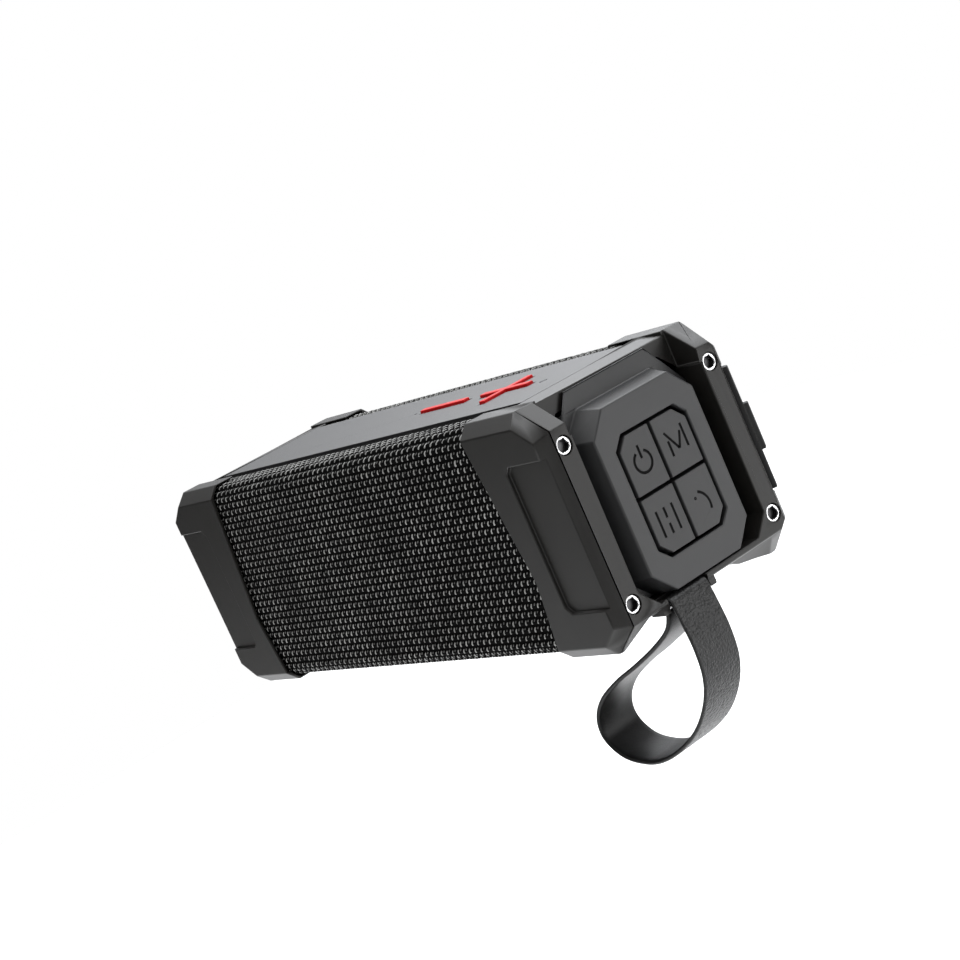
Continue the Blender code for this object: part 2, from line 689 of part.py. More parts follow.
def cap_body():
    """The cap's floor, with a sloped top that leans back under the top bar."""
    half = HALF_D - BAR_WIDTH - CAP_SIDE_GAP
    low = -POD_FOOT
    shoulder = POD_TOP + POD_FLARE_TOP
    top = shoulder + CAP_TOP_RISE
    bar_front = HALF_L - SLANT_RUN + CAP_BAR_GAP
    outline = [
        (CAP_BACK, low), (CAP_FLOOR_X, low), (CAP_FLOOR_X, shoulder),
        (CAP_FLOOR_X - CAP_TOP_LEAN, top), (bar_front, top), (bar_front, shoulder), (CAP_BACK, shoulder),
    ]
    bm = prism_bm(outline, 1, -half, half)
    for y in (-1, 1):
        trim(bm, (0, y * half, top - CAP_CORNER_Z), (0, y * CAP_CORNER_Z, CAP_CORNER_Y))
        trim(bm, (0, y * half, low + OPENING_CUT), (0, y, -1))
    return bm


def pod_outline(x, half, low, high, cut_y, cut_z):
    return [(x, y, z) for y, z in cut_corners(half, low, high, cut_y, cut_z)]


def end_cap(side, name):
    cap = to_object(name, mirrored(cap_body(), side), "cap_plastic")
    root = CAP_FLOOR_X - POD_ROOT
    foot = pod_outline(root, POD_HALF_WIDTH + POD_FLARE, -POD_FOOT, POD_TOP + POD_FLARE_TOP,
                       POD_CUT_Y + POD_ROOT_CUT_Y, POD_CUT_Z + POD_ROOT_CUT_Z)
    face = pod_outline(HALF_L, POD_HALF_WIDTH, -POD_FOOT, POD_TOP, POD_CUT_Y, POD_CUT_Z)
    join(cap, mirrored(hull_bm(foot + face), side))
    inside = cut_corners(POD_HALF_WIDTH - POD_WALL, -POD_FOOT + POD_WALL, POD_TOP - POD_WALL,
                         POD_CUT_Y, POD_CUT_Z)
    cut(cap, mirrored(prism_bm(inside, 0, CAP_BACK - LEDGE, HALF_L - POD_WALL), side))
    if side > 0:
        hole = cut_corners(PAD_HALF_WIDTH + PAD_GAP, -PAD_HALF_HEIGHT - PAD_GAP, PAD_HALF_HEIGHT + PAD_GAP,
                           PAD_CUT, PAD_CUT)
        cut(cap, prism_bm(hole, 0, HALF_L - 2 * POD_WALL, HALF_L + POD_WALL))
    return cap


def keypad_key(name, side_y, side_z):
    """One quarter of the keypad, with its outer corner cut, and a flange that keeps it in."""
    inner = KEY_GAP
    outline = [
        (side_y * inner, side_z * inner),
        (side_y * PAD_HALF_WIDTH, side_z * inner),
        (side_y * PAD_HALF_WIDTH, side_z * (PAD_HALF_HEIGHT - PAD_CUT)),
        (side_y * (PAD_HALF_WIDTH - PAD_CUT), side_z * PAD_HALF_HEIGHT),
        (side_y * inner, side_z * PAD_HALF_HEIGHT),
    ]
    key = to_object(name, prism_bm(outline, 0, HALF_L - KEY_DEPTH, HALF_L), "key_plastic")
    key_centre = (HALF_L, side_y * PAD_HALF_WIDTH / 2, side_z * PAD_HALF_HEIGHT / 2)
    set_origin(key, key_centre)


def keypad_board_and_mat():
    mat_front = HALF_L - KEY_DEPTH - KEY_TRAVEL_ROOM - GAP
    half_y = PAD_HALF_WIDTH + MAT_MARGIN
    half_z = PAD_HALF_HEIGHT + MAT_MARGIN
    mat = cut_corners(half_y, -half_z, half_z, PAD_CUT, PAD_CUT)
    to_object("key_mat", prism_bm(mat, 0, mat_front - MAT_THICKNESS, mat_front), "rubber")
    board_front = mat_front - MAT_THICKNESS - GAP - SWITCH_HEIGHT - GAP
    board_back = board_front - BOARD_THICKNESS
    board = to_object("key_board", prism_bm(mat, 0, board_back, board_front), "board_green")
    for y in (-1, 1):
        for z in (-1, 1):
            middle = Vector((board_front, y * PAD_HALF_WIDTH / 2, z * PAD_HALF_HEIGHT / 2))
            half = Vector((0, SWITCH_SIZE / 2, SWITCH_SIZE / 2))
            low = middle - half - Vector((BOARD_THICKNESS / 2, 0, 0))
            join(board, block_bm(low, middle + half + Vector((SWITCH_HEIGHT, 0, 0))))


# Screws

def screw_bm(side, y, z):
    head_top = HALF_L - SCREW_SINK
    head = cylinder_bm((y, z), 0, SCREW_HEAD_R, head_top - SCREW_HEAD_H, head_top, 24)
    return mirrored(head, side)


def end_screw(name, side, y, z):
    """A socket-head screw along X, with a hex socket."""
    screw = to_object(name, screw_bm(side, y, z), "steel")
    head_top = HALF_L - SCREW_SINK
    neck = head_top - SCREW_HEAD_H
    shank = cylinder_bm((y, z), 0, SCREW_SHANK_R, head_top - SCREW_LENGTH, neck + SOCKET_DEPTH / 2, 12)
    join(screw, mirrored(shank, side))
    socket = cylinder_bm((y, z), 0, SOCKET_R, head_top - SOCKET_DEPTH, head_top + SOCKET_DEPTH, 6)
    cut(screw, mirrored(socket, side))
    return screw


# Housing and seals

def housing():
    low = (-HOUSING_HALF_X, -HOUSING_HALF_Y, -HOUSING_HALF_Z)
    high = (HOUSING_HALF_X, HOUSING_HALF_Y, HOUSING_HALF_Z)
    tube = to_object("housing", chamfer_along(block_bm(low, high), 0, HOUSING_CHAMFER), "inner_plastic")
    inner_y = HOUSING_HALF_Y - HOUSING_WALL
    inner_z = HOUSING_HALF_Z - HOUSING_WALL
    inner = block_bm((-HALF_L, -inner_y, -inner_z), (HALF_L, inner_y, inner_z))
    cut(tube, chamfer_along(inner, 0, HOUSING_CHAMFER - HOUSING_WALL / 2))
    for side in (-1, 1):
        for y, z in screw_places():
            boss = cylinder_bm((y, z), 0, BOSS_R, HOUSING_HALF_X - BOSS_LENGTH, HOUSING_HALF_X, 16)
            trim(boss, (0, math.copysign(HOUSING_HALF_Y - BOSS_INSET, y), 0), (0, math.copysign(1, y), 0))
            join(tube, mirrored(boss, side))
    for side in (-1, 1):
        for y, z in screw_places():
            hole_start = HOUSING_HALF_X - BOSS_LENGTH - LEDGE
            hole = cylinder_bm((y, z), 0, SCREW_SHANK_R + GAP / 2, hole_start, HALF_L, 12)
            cut(tube, mirrored(hole, side))
        hole = cylinder_bm((side * DRIVER_X, 0), 1, DRIVER_HOLE_R, -HALF_D, 0)
        cut(tube, hole)
    reach = RADIATOR_HALF_LENGTH + RADIATOR_SURROUND
    rise = RADIATOR_HALF_HEIGHT + RADIATOR_SURROUND
    cut(tube, racetrack_bm(reach, rise, 0, HALF_D))
    return tube


def racetrack_outline(half_length, half_height, turn_steps=8):
    """An upright racetrack as (x, z) points: two half circles and two straights."""
    points = []
    straight = half_length - half_height
    for end, start_angle in ((1, -90), (-1, 90)):
        for step in range(turn_steps + 1):
            angle = math.radians(start_angle + 180 * step / turn_steps)
            points.append((end * straight + half_height * math.cos(angle), half_height * math.sin(angle)))
    return points


def racetrack_bm(half_length, half_height, start, end):
    return prism_bm(racetrack_outline(half_length, half_height), 1, start, end)


def gasket(side, name):
    start = HOUSING_HALF_X + GAP
    half_y = HOUSING_HALF_Y
    half_z = HOUSING_HALF_Z
    ring = block_bm((start, -half_y, -half_z), (start + GASKET, half_y, half_z))
    seal = to_object(name, mirrored(chamfer_along(ring, 0, HOUSING_CHAMFER), side), "rubber")
    inner_y = half_y - GASKET_WIDTH
    inner_z = half_z - GASKET_WIDTH
    inner = block_bm((start - GAP, -inner_y, -inner_z), (HALF_L, inner_y, inner_z))
    cut(seal, mirrored(chamfer_along(inner, 0, HOUSING_CHAMFER), side))
    for y, z in screw_places():
        cut(seal, mirrored(cylinder_bm((y, z), 0, SCREW_SHANK_R + GAP, 0, HALF_L, 16), side))


# Grilles and panels

def grille(name, side):
    """A folded sheet of mesh: top edge, chamfer, face, chamfer, bottom edge."""
    face_y = HALF_D - MESH_INSET_Y
    top_z = HALF_H - MESH_INSET_Z
    fold = [
        (MESH_HALF_OPENING, top_z), (face_y - MESH_CHAMFER, top_z), (face_y, top_z - MESH_CHAMFER),
        (face_y, -top_z + MESH_CHAMFER), (face_y - MESH_CHAMFER, -top_z), (MESH_HALF_OPENING, -top_z),
    ]
    half = HALF_L - MESH_END
    bm = bmesh.new()
    left = [bm.verts.new((-half, side * y, z)) for y, z in fold]
    right = [bm.verts.new((half, side * y, z)) for y, z in fold]
    for i in range(len(fold) - 1):
        corners = [left[i], left[i + 1], right[i + 1], right[i]]
        bm.faces.new(corners if side < 0 else corners[::-1])
    mesh = bpy.data.meshes.new(name)
    bm.to_mesh(mesh)
    bm.free()
    mesh.materials.append(MATERIAL["mesh_fabric"])
    made = bpy.data.objects.new(name, mesh)
    made.parent = CENTRE
    PARTS.objects.link(made)
    solidify = made.modifiers.new("thickness", 'SOLIDIFY')
    solidify.thickness = MESH_THICKNESS
    solidify.offset = -1.0
    solidify.use_even_offset = True


def mark_outlines():
    """The minus and the plus as lists of bars: (centre x, half length, half width across)."""
    half = MARK_WIDTH / 2
    minus = [(MINUS_FROM_CENTRE, MARK_LENGTH / 2, half)]
    plus = [(PLUS_FROM_CENTRE, MARK_LENGTH / 2, half), (PLUS_FROM_CENTRE, half, MARK_CROSS / 2)]
    return minus, plus


def mark_bars(bars, spread, low, high):
    return [
        block_bm((x - length - spread, -across - spread, low), (x + length + spread, across + spread, high))
        for x, length, across in bars
    ]


def top_panel():
    """The top panel: a shallow channel with slots for the two marks."""
    half_x = HALF_L - LIP_REACH - GAP
    half_y = MESH_HALF_OPENING - PANEL_SIDE_GAP
    foot = HOUSING_HALF_Z + GAP
    bm = block_bm((-half_x, -half_y, foot), (half_x, half_y, PANEL_TOP))
    panel = to_object("top_panel", bm, "cap_plastic")
    under = PANEL_TOP - PANEL_THICKNESS
    inner_x = half_x - PANEL_SKIRT
    inner_y = half_y - PANEL_SKIRT
    cut(panel, block_bm((-inner_x, -inner_y, 0), (inner_x, inner_y, under)))
    for bars in mark_outlines():
        for bar in mark_bars(bars, KEY_GAP, 0, HALF_H + LEDGE):
            cut(panel, bar)
    cut(panel, cylinder_bm((LED_FROM_CENTRE, 0), 2, LED_R + GAP, 0, HALF_H, 16))
    cut(panel, cylinder_bm((MIC_FROM_CENTRE, 0), 2, MIC_HOLE_R, 0, HALF_H, 12))


def volume_keys():
    under = HOUSING_HALF_Z + GAP + TOP_BOARD_THICKNESS + KEY_TRAVEL_ROOM
    top = PANEL_TOP + MARK_RISE
    minus, plus = mark_outlines()
    down = to_object("volume_down_key", mark_bars(minus, 0, under, top)[0], "red_silicone")
    set_origin(down, (MINUS_FROM_CENTRE, 0, PANEL_TOP))
    bars = mark_bars(plus, 0, under, top)
    up = to_object("volume_up_key", bars[0], "red_silicone")
    set_origin(up, (PLUS_FROM_CENTRE, 0, PANEL_TOP))
    join(up, bars[1])


def top_electronics():
    low = HOUSING_HALF_Z + GAP
    board_top = low + TOP_BOARD_THICKNESS
    half_y = MARK_CROSS / 2 + TOP_BOARD_SIDE
    start = MIC_FROM_CENTRE - MIC_R - TOP_BOARD_PAST_MIC
    end = LED_FROM_CENTRE + TOP_BOARD_PAST_LED
    to_object("top_key_board", block_bm((start, -half_y, low), (end, half_y, board_top)), "board_green")
    lens = cylinder_bm((LED_FROM_CENTRE, 0), 2, LED_R, board_top + GAP, PANEL_TOP, 16)
    smooth(to_object("status_led", lens, "lens"))
    mic_top = PANEL_TOP - PANEL_THICKNESS - GAP
    mic = cylinder_bm((MIC_FROM_CENTRE, 0), 2, MIC_R, board_top + GAP, mic_top, 16)
    smooth(to_object("microphone", mic, "steel"))


def bottom_parts():
    half_x = HALF_L - LIP_REACH - GAP
    half_y = MESH_HALF_OPENING - PANEL_SIDE_GAP
    top = -HOUSING_HALF_Z - GAP
    pad_top = -HALF_H + PAD_STRIP_HEIGHT
    under = pad_top + GAP
    to_object("bottom_panel", block_bm((-half_x, -half_y, under), (half_x, half_y, top)), "cap_plastic")
    pad = block_bm((-PAD_STRIP_LENGTH / 2, -PAD_STRIP_WIDTH / 2, -HALF_H),
                   (PAD_STRIP_LENGTH / 2, PAD_STRIP_WIDTH / 2, pad_top))
    to_object("base_pad", chamfer_along(pad, 2, BASE_PAD_CORNER), "rubber")


# Drivers and radiator

def face_front(made, x):
    """Turns a piece made about +Z to face -Y, on the housing's front wall."""
    made.rotation_euler = (math.pi / 2, 0, 0)
    made.location = (x, -HOUSING_HALF_Y, 0)


def driver(label, x):
    """A driver: heights are measured forwards from the housing's front wall."""
    seat = GAP
    front = seat + FLANGE_THICKNESS
    foot = -BASKET_DEPTH
    basket = [
        (BASKET_R - BASKET_WALL, front), (FLANGE_R, front), (FLANGE_R, seat), (BASKET_R, seat),
        (BASKET_FOOT_R + BASKET_WALL, foot), (BASKET_FOOT_R - BASKET_FOOT_LIP, foot),
        (BASKET_FOOT_R - BASKET_FOOT_LIP, foot + BASKET_WALL), (BASKET_FOOT_R, foot + BASKET_WALL),
        (BASKET_R - BASKET_WALL, seat - BASKET_RIM_DROP),
    ]
    face_front(turned(label + "_basket", basket, "inner_plastic"), x)
    magnet_top = foot - GAP
    magnet = [(0, magnet_top), (MAGNET_R - MAGNET_CHAMFER, magnet_top),
              (MAGNET_R, magnet_top - MAGNET_CHAMFER), (MAGNET_R, magnet_top - MAGNET_HEIGHT),
              (0, magnet_top - MAGNET_HEIGHT)]
    face_front(turned(label + "_magnet", magnet, "magnet_steel"), x)
    lip = seat - CONE_SINK
    neck = lip - CONE_DEPTH
    shoulder = (CONE_NECK_R * DOME_SHOULDER_R, neck + DOME_RISE * DOME_SHOULDER_RISE)
    cone = [(0, neck + DOME_RISE), shoulder, (CONE_NECK_R, neck + CONE_WALL),
            (CONE_R, lip), (CONE_R, lip - CONE_WALL), (CONE_NECK_R, neck - CONE_WALL),
            (CONE_NECK_R - CONE_NECK_WALL, neck - CONE_NECK_DEPTH), (0, neck - CONE_NECK_DEPTH)]
    face_front(turned(label + "_cone", cone, "cone_paper"), x)
    ring_in = CONE_R + GAP
    ring_out = BASKET_R - BASKET_WALL - GAP
    middle = (ring_in + ring_out) / 2
    crest = lip + SURROUND_ROLL
    surround = [(ring_in, lip), (ring_in + ROLL_SHOULDER, crest - ROLL_SHOULDER_DROP), (middle, crest),
                (ring_out - ROLL_SHOULDER, crest - ROLL_SHOULDER_DROP), (ring_out, lip),
                (ring_out, lip - CONE_WALL), (middle, crest - 2 * CONE_WALL), (ring_in, lip - CONE_WALL)]
    face_front(turned(label + "_surround", surround, "rubber"), x)


def radiator():
    """The passive radiator's plate in its racetrack surround, in the rear wall."""
    outer = HOUSING_HALF_Y - HOUSING_WALL / 2
    inner = outer - RADIATOR_THICKNESS
    plate = racetrack_bm(RADIATOR_HALF_LENGTH, RADIATOR_HALF_HEIGHT, inner, outer)
    made = to_object("radiator_plate", plate, "inner_plastic")
    set_origin(made, (0, outer, 0))
    reach = RADIATOR_SURROUND - GAP
    ring = racetrack_bm(RADIATOR_HALF_LENGTH + reach, RADIATOR_HALF_HEIGHT + reach, inner + GAP, outer - GAP)
    surround = to_object("radiator_surround", ring, "rubber")
    hole = racetrack_bm(RADIATOR_HALF_LENGTH + GAP, RADIATOR_HALF_HEIGHT + GAP, 0, HALF_D)
    cut(surround, hole)


# Battery and boards

def battery():
    start = CELL_END_X - CELL_LENGTH
    for name, z in (("cell_upper", CELL_Z), ("cell_lower", -CELL_Z)):
        cell = cylinder_bm((CELL_Y, z), 0, CELL_R, start, CELL_END_X, 24)
        smooth(to_object(name, cell, "cell_wrap"))
    half_z = CELL_Z + CELL_R + CRADLE_WALL
    low = (start - CRADLE_WALL, CELL_Y + CRADLE_FRONT, -half_z)
    high = (CELL_END_X + CRADLE_WALL, CELL_Y + CELL_R + CRADLE_WALL, half_z)
    cradle = to_object("battery_cradle", block_bm(low, high), "inner_plastic")
    for z in (CELL_Z, -CELL_Z):
        cut(cradle, cylinder_bm((CELL_Y, z), 0, CELL_R + GAP, start - GAP, CELL_END_X + GAP, 24))


def main_board():
    half = Vector(MAIN_BOARD) / 2
    middle = Vector((MAIN_BOARD_X, MAIN_BOARD_Y, 0))
    board = to_object("main_board", block_bm(middle - half, middle + half), "board_green")
    face = MAIN_BOARD_Y + half.y
    for x, z, width, height, depth in MAIN_BOARD_CHIPS:
        low = (MAIN_BOARD_X + x - width / 2, face - half.y, z - depth / 2)
        high = (MAIN_BOARD_X + x + width / 2, face + height, z + depth / 2)
        join(board, block_bm(low, high))


# Ports

def port_cover():
    """The flap over the ports: a plate that turns round the end's chamfer, with a pull tab."""
    hinge_x = HALF_L - COVER_REACH
    inside = HALF_D - POCKET_DEPTH + GAP
    outside = inside + COVER_THICKNESS
    out = Vector((SIDE_CUT_DROP, SIDE_CUT_RUN_BACK)).normalized()
    run = Vector((SIDE_CUT_RUN_BACK, -SIDE_CUT_DROP)).normalized()
    bend_out = Vector((HALF_L - SIDE_CUT_RUN_BACK + COVER_BEND, outside))
    tip_out = bend_out + run * COVER_TIP
    tip_in = tip_out - out * COVER_THICKNESS
    bend_in = Vector((bend_out.x - COVER_THICKNESS * COVER_INNER_BEND, inside))
    outline = [(hinge_x, inside), tuple(bend_in), tuple(tip_in), tuple(tip_out), tuple(bend_out),
               (hinge_x, outside)]
    plate = prism_bm(outline, 2, -COVER_FOOT, COVER_TOP)
    trim(plate, (hinge_x, 0, COVER_TOP - POCKET_CUT), (-1, 0, 1))
    trim(plate, (hinge_x, 0, -COVER_FOOT + POCKET_CUT), (-1, 0, -1))
    cover = to_object("port_cover", plate, "rubber")
    tab_start = bend_out - run * TAB_BACK
    tab_end = tab_start + run * TAB_LENGTH
    tab = [tab_start - out * MM, tab_end - out * MM, tab_end + out * TAB_RISE, tab_start + out * TAB_RISE]
    join(cover, prism_bm([tuple(point) for point in tab], 2, -TAB_FOOT, TAB_TOP))
    place = (hinge_x, outside - GAP, 0)
    set_origin(cover, place)


def ports():
    floor = HALF_D - POCKET_DEPTH
    middle_x = HALF_L - (BAY_REACH_IN + BAY_REACH_OUT) / 2
    half_x = (BAY_REACH_IN - BAY_REACH_OUT) / 2 - GAP
    half_z = BAY_HALF_HEIGHT - GAP
    front = floor - GAP
    back = front - PORT_PANEL_THICKNESS
    low = (middle_x - half_x, back, -half_z)
    high = (middle_x + half_x, front, half_z)
    panel = to_object("port_panel", block_bm(low, high), "inner_plastic")
    usb_half = (USB_SIZE[1] / 2, USB_SIZE[0] / 2)
    card_half = (CARD_SIZE[1] / 2, CARD_SIZE[0] / 2)
    socket_front = back - GAP
    socket_back = socket_front - PORT_DEPTH
    for name, z, half in (("usb_socket", USB_Z, usb_half), ("card_socket", CARD_Z, card_half)):
        window = block_bm((middle_x - half[0], back - MM, z - half[1]),
                          (middle_x + half[0], HALF_D, z + half[1]))
        cut(panel, window)
        shell = block_bm((middle_x - half[0] - SOCKET_WALL, socket_back, z - half[1] - SOCKET_WALL),
                         (middle_x + half[0] + SOCKET_WALL, socket_front, z + half[1] + SOCKET_WALL))
        socket = to_object(name, shell, "steel")
        cut(socket, block_bm((middle_x - half[0], socket_back + SOCKET_WALL, z - half[1]),
                             (middle_x + half[0], HALF_D, z + half[1])))
    cut(panel, cylinder_bm((middle_x, AUX_Z), 1, AUX_BORE_R, back - MM, HALF_D, 16))
    aux = cylinder_bm((middle_x, AUX_Z), 1, AUX_R, socket_back, socket_front, 16)
    jack = to_object("aux_socket", aux, "inner_plastic")
    smooth(jack)
    cut(jack, cylinder_bm((middle_x, AUX_Z), 1, AUX_BORE_R, socket_back + SOCKET_WALL, HALF_D, 16))
    board_front = socket_back - GAP
    board_low = (middle_x - half_x, board_front - BOARD_THICKNESS, -half_z)
    to_object("port_board", block_bm(board_low, (middle_x + half_x, board_front, half_z)), "board_green")


# Strap

def strap_route():
    """The strap's middle line about its pin, as (x, z): down the outer side, along the bottom, and back."""
    r = STRAP_TURN_R
    points = [(r * math.cos(math.radians(a)), r * math.sin(math.radians(a))) for a in (180, 135, 90, 45, 0)]
    hanging = [
        (2.3, -5.0), (2.7, -12.0), (1.5, -19.5), (-2.5, -26.5), (-9.5, -33.3), (-18.5, -38.5),
        (-27.5, -41.6), (-35.0, -42.0), (-42.5, -40.0), (-47.0, -35.0), (-46.3, -29.3), (-41.0, -23.8),
        (-32.0, -19.0), (-22.0, -15.0), (-12.5, -10.8), (-5.2, -6.7), (-2.1, -3.0),
    ]
    return points + [(x * MM, z * MM) for x, z in hanging]


def closed_curve(points, steps):
    """A smooth closed line through points, by Catmull-Rom."""
    line = []
    count = len(points)
    for i in range(count):
        p0, p1, p2, p3 = (Vector(points[(i + k) % count]) for k in (-1, 0, 1, 2))
        for step in range(steps):
            t = step / steps
            bend = 2 * p0 - 5 * p1 + 4 * p2 - p3
            twist = -p0 + 3 * p1 - 3 * p2 + p3
            line.append((2 * p1 + (p2 - p0) * t + bend * t * t + twist * t * t * t) / 2)
    return line


def strap():
    """A closed leather band that hangs from its pin."""
    line = closed_curve(strap_route(), 2)
    bm = bmesh.new()
    near = [bm.verts.new((p.x, STRAP_Y - STRAP_WIDTH / 2, p.y)) for p in line]
    edges = [bm.edges.new((near[i], near[(i + 1) % len(near)])) for i in range(len(near))]
    drawn = bmesh.ops.extrude_edge_only(bm, edges=edges)
    far = [item for item in drawn["geom"] if isinstance(item, bmesh.types.BMVert)]
    bmesh.ops.translate(bm, vec=(0, STRAP_WIDTH, 0), verts=far)
    bmesh.ops.recalc_face_normals(bm, faces=bm.faces)
    mesh = bpy.data.meshes.new("strap")
    bm.to_mesh(mesh)
    bm.free()
    mesh.materials.append(MATERIAL["strap_leather"])
    made = bpy.data.objects.new("strap", mesh)
    made.parent = CENTRE
    made.location = (PIN_X, 0, PIN_Z)
    PARTS.objects.link(made)
    made.data.shade_smooth()
    solidify = made.modifiers.new("thickness", 'SOLIDIFY')
    solidify.thickness = STRAP_THICKNESS
    solidify.offset = 0.0


def build():
    housing()
    for side, word in ((1, "right"), (-1, "left")):
        end_frame(side, word + "_end_frame")
        end_cap(side, word + "_end_cap")
        gasket(side, word + "_gasket")
        for y, z in screw_places():
            corner = ("front" if y < 0 else "rear") + "_" + ("top" if z > 0 else "bottom")
            end_screw(word + "_screw_" + corner, side, y, z)
        driver(word + "_driver", side * DRIVER_X)
    grille("front_grille", -1)
    grille("rear_grille", 1)
    top_panel()
    volume_keys()
    top_electronics()
    bottom_parts()
    keypad_key("key_power", -1, 1)
    keypad_key("key_mode", 1, 1)
    keypad_key("key_equalizer", -1, -1)
    keypad_key("key_call", 1, -1)
    keypad_board_and_mat()
    radiator()
    battery()
    main_board()
    port_cover()
    ports()
    strap_pin()
    strap()


build()
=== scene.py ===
"""Looks for the portable shower speaker: bevelled mouldings, woven mesh, pebbled strap, marks and lights.

Places come from the frame's boxes. X runs along the length, the front mesh faces -Y, and +Z is up.
"""
import json
import math

import bmesh
import bpy
import numpy as np
from mathutils import Matrix, Vector, noise


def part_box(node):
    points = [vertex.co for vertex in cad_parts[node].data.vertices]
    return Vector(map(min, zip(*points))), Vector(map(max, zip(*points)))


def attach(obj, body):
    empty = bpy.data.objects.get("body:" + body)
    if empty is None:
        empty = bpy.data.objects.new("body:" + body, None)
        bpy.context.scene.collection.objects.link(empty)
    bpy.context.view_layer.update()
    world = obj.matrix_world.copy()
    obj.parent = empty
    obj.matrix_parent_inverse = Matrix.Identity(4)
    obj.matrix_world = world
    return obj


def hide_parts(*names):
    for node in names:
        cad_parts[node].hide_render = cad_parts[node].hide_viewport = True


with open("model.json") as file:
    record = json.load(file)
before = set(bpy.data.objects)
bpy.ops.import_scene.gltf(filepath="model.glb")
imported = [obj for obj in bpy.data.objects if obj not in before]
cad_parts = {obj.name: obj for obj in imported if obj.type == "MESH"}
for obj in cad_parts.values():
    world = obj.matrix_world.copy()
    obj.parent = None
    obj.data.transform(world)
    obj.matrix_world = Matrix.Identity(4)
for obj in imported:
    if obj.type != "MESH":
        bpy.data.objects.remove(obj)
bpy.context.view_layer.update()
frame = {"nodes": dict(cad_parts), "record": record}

MM = 0.001
NODES = frame["nodes"]
NODE_SLOT = {row["node"]: row["material_slot"] for row in frame["record"]["subparts"]}
NODE_BODY = {node: body for body, members in frame["record"]["behaviour"]["bodies"].items()
             for node in members}
SCREW_NODES = [node for node in NODES if "_screw_" in node]

# The height of the body's middle, which the lights aim at and the camera's place is measured from
RIGHT_LOW, RIGHT_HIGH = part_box("right_end_frame")
MID_Z = (RIGHT_HIGH.z + RIGHT_LOW.z) / 2


# Materials

GRAIN_DETAIL = 2.0
GRAIN_DEPTH = 0.05 * MM
MOTTLE_DETAIL = 4.0
MOTTLE_START, MOTTLE_END = 0.3, 0.7        # the part of the noise that the shades are spread over
PLASTIC_MOTTLE = 9 * MM
METAL_MOTTLE = 1.5 * MM
LEATHER_MOTTLE = 2 * MM
CREASE_DEPTH = 0.15 * MM
CREASE_SMOOTHNESS = 0.35


def new_material(name, colour, roughness, metallic=0.0, specular=0.5):
    material = bpy.data.materials.new(name)
    material.use_nodes = True
    shader = material.node_tree.nodes["Principled BSDF"]
    shader.inputs["Base Color"].default_value = (*colour, 1.0)
    shader.inputs["Roughness"].default_value = roughness
    shader.inputs["Metallic"].default_value = metallic
    shader.inputs["Specular IOR Level"].default_value = specular
    return material, material.node_tree, shader


def object_coordinates(tree, scale):
    """Positions in metres, times a scale."""
    coordinates = tree.nodes.new("ShaderNodeTexCoord")
    mapping = tree.nodes.new("ShaderNodeMapping")
    mapping.inputs["Scale"].default_value = (scale, scale, scale)
    tree.links.new(coordinates.outputs["Object"], mapping.inputs["Vector"])
    return mapping.outputs["Vector"]


def noise_texture(tree, size, detail):
    """Noise with lumps about size metres wide."""
    texture = tree.nodes.new("ShaderNodeTexNoise")
    texture.inputs["Scale"].default_value = 1.0
    texture.inputs["Detail"].default_value = detail
    tree.links.new(object_coordinates(tree, 1.0 / size), texture.inputs["Vector"])
    return texture.outputs["Fac"]


def add_bump(tree, shader, height, strength, depth, invert=False):
    bump = tree.nodes.new("ShaderNodeBump")
    bump.invert = invert
    bump.inputs["Strength"].default_value = strength
    bump.inputs["Distance"].default_value = depth
    tree.links.new(height, bump.inputs["Height"])
    tree.links.new(bump.outputs["Normal"], shader.inputs["Normal"])


def add_grain(tree, shader, size, strength):
    """A fine grain in the surface, as moulded plastic has."""
    add_bump(tree, shader, noise_texture(tree, size, GRAIN_DETAIL), strength, GRAIN_DEPTH)


def add_mottle(tree, shader, colour, size, low, high):
    """Slow, slight changes of shade across a surface."""
    mottle = noise_texture(tree, size, MOTTLE_DETAIL)
    ramp = tree.nodes.new("ShaderNodeValToRGB")
    ramp.color_ramp.elements[0].position = MOTTLE_START
    ramp.color_ramp.elements[1].position = MOTTLE_END
    ramp.color_ramp.elements[0].color = (*(c * low for c in colour), 1.0)
    ramp.color_ramp.elements[1].color = (*(c * high for c in colour), 1.0)
    tree.links.new(mottle, ramp.inputs["Fac"])
    tree.links.new(ramp.outputs["Color"], shader.inputs["Base Color"])


def plastic(name, colour, roughness, grain_size, grain_strength, low=0.92, high=1.08, specular=0.4):
    material, tree, shader = new_material(name, colour, roughness, specular=specular)
    add_grain(tree, shader, grain_size, grain_strength)
    add_mottle(tree, shader, colour, PLASTIC_MOTTLE, low, high)
    return material


def metal(name, colour, roughness):
    material, tree, shader = new_material(name, colour, roughness, metallic=1.0)
    add_mottle(tree, shader, colour, METAL_MOTTLE, 0.94, 1.04)
    return material


def leather(name, colour, roughness, pebble, strength, specular):
    """Grained leather: rounded pebbles with creases between them."""
    material, tree, shader = new_material(name, colour, roughness, specular=specular)
    cells = tree.nodes.new("ShaderNodeTexVoronoi")
    cells.feature = 'SMOOTH_F1'
    cells.inputs["Scale"].default_value = 1.0
    cells.inputs["Smoothness"].default_value = CREASE_SMOOTHNESS
    tree.links.new(object_coordinates(tree, 1.0 / pebble), cells.inputs["Vector"])
    add_bump(tree, shader, cells.outputs["Distance"], strength, CREASE_DEPTH, invert=True)
    add_mottle(tree, shader, colour, LEATHER_MOTTLE, 0.85, 1.15)
    return material


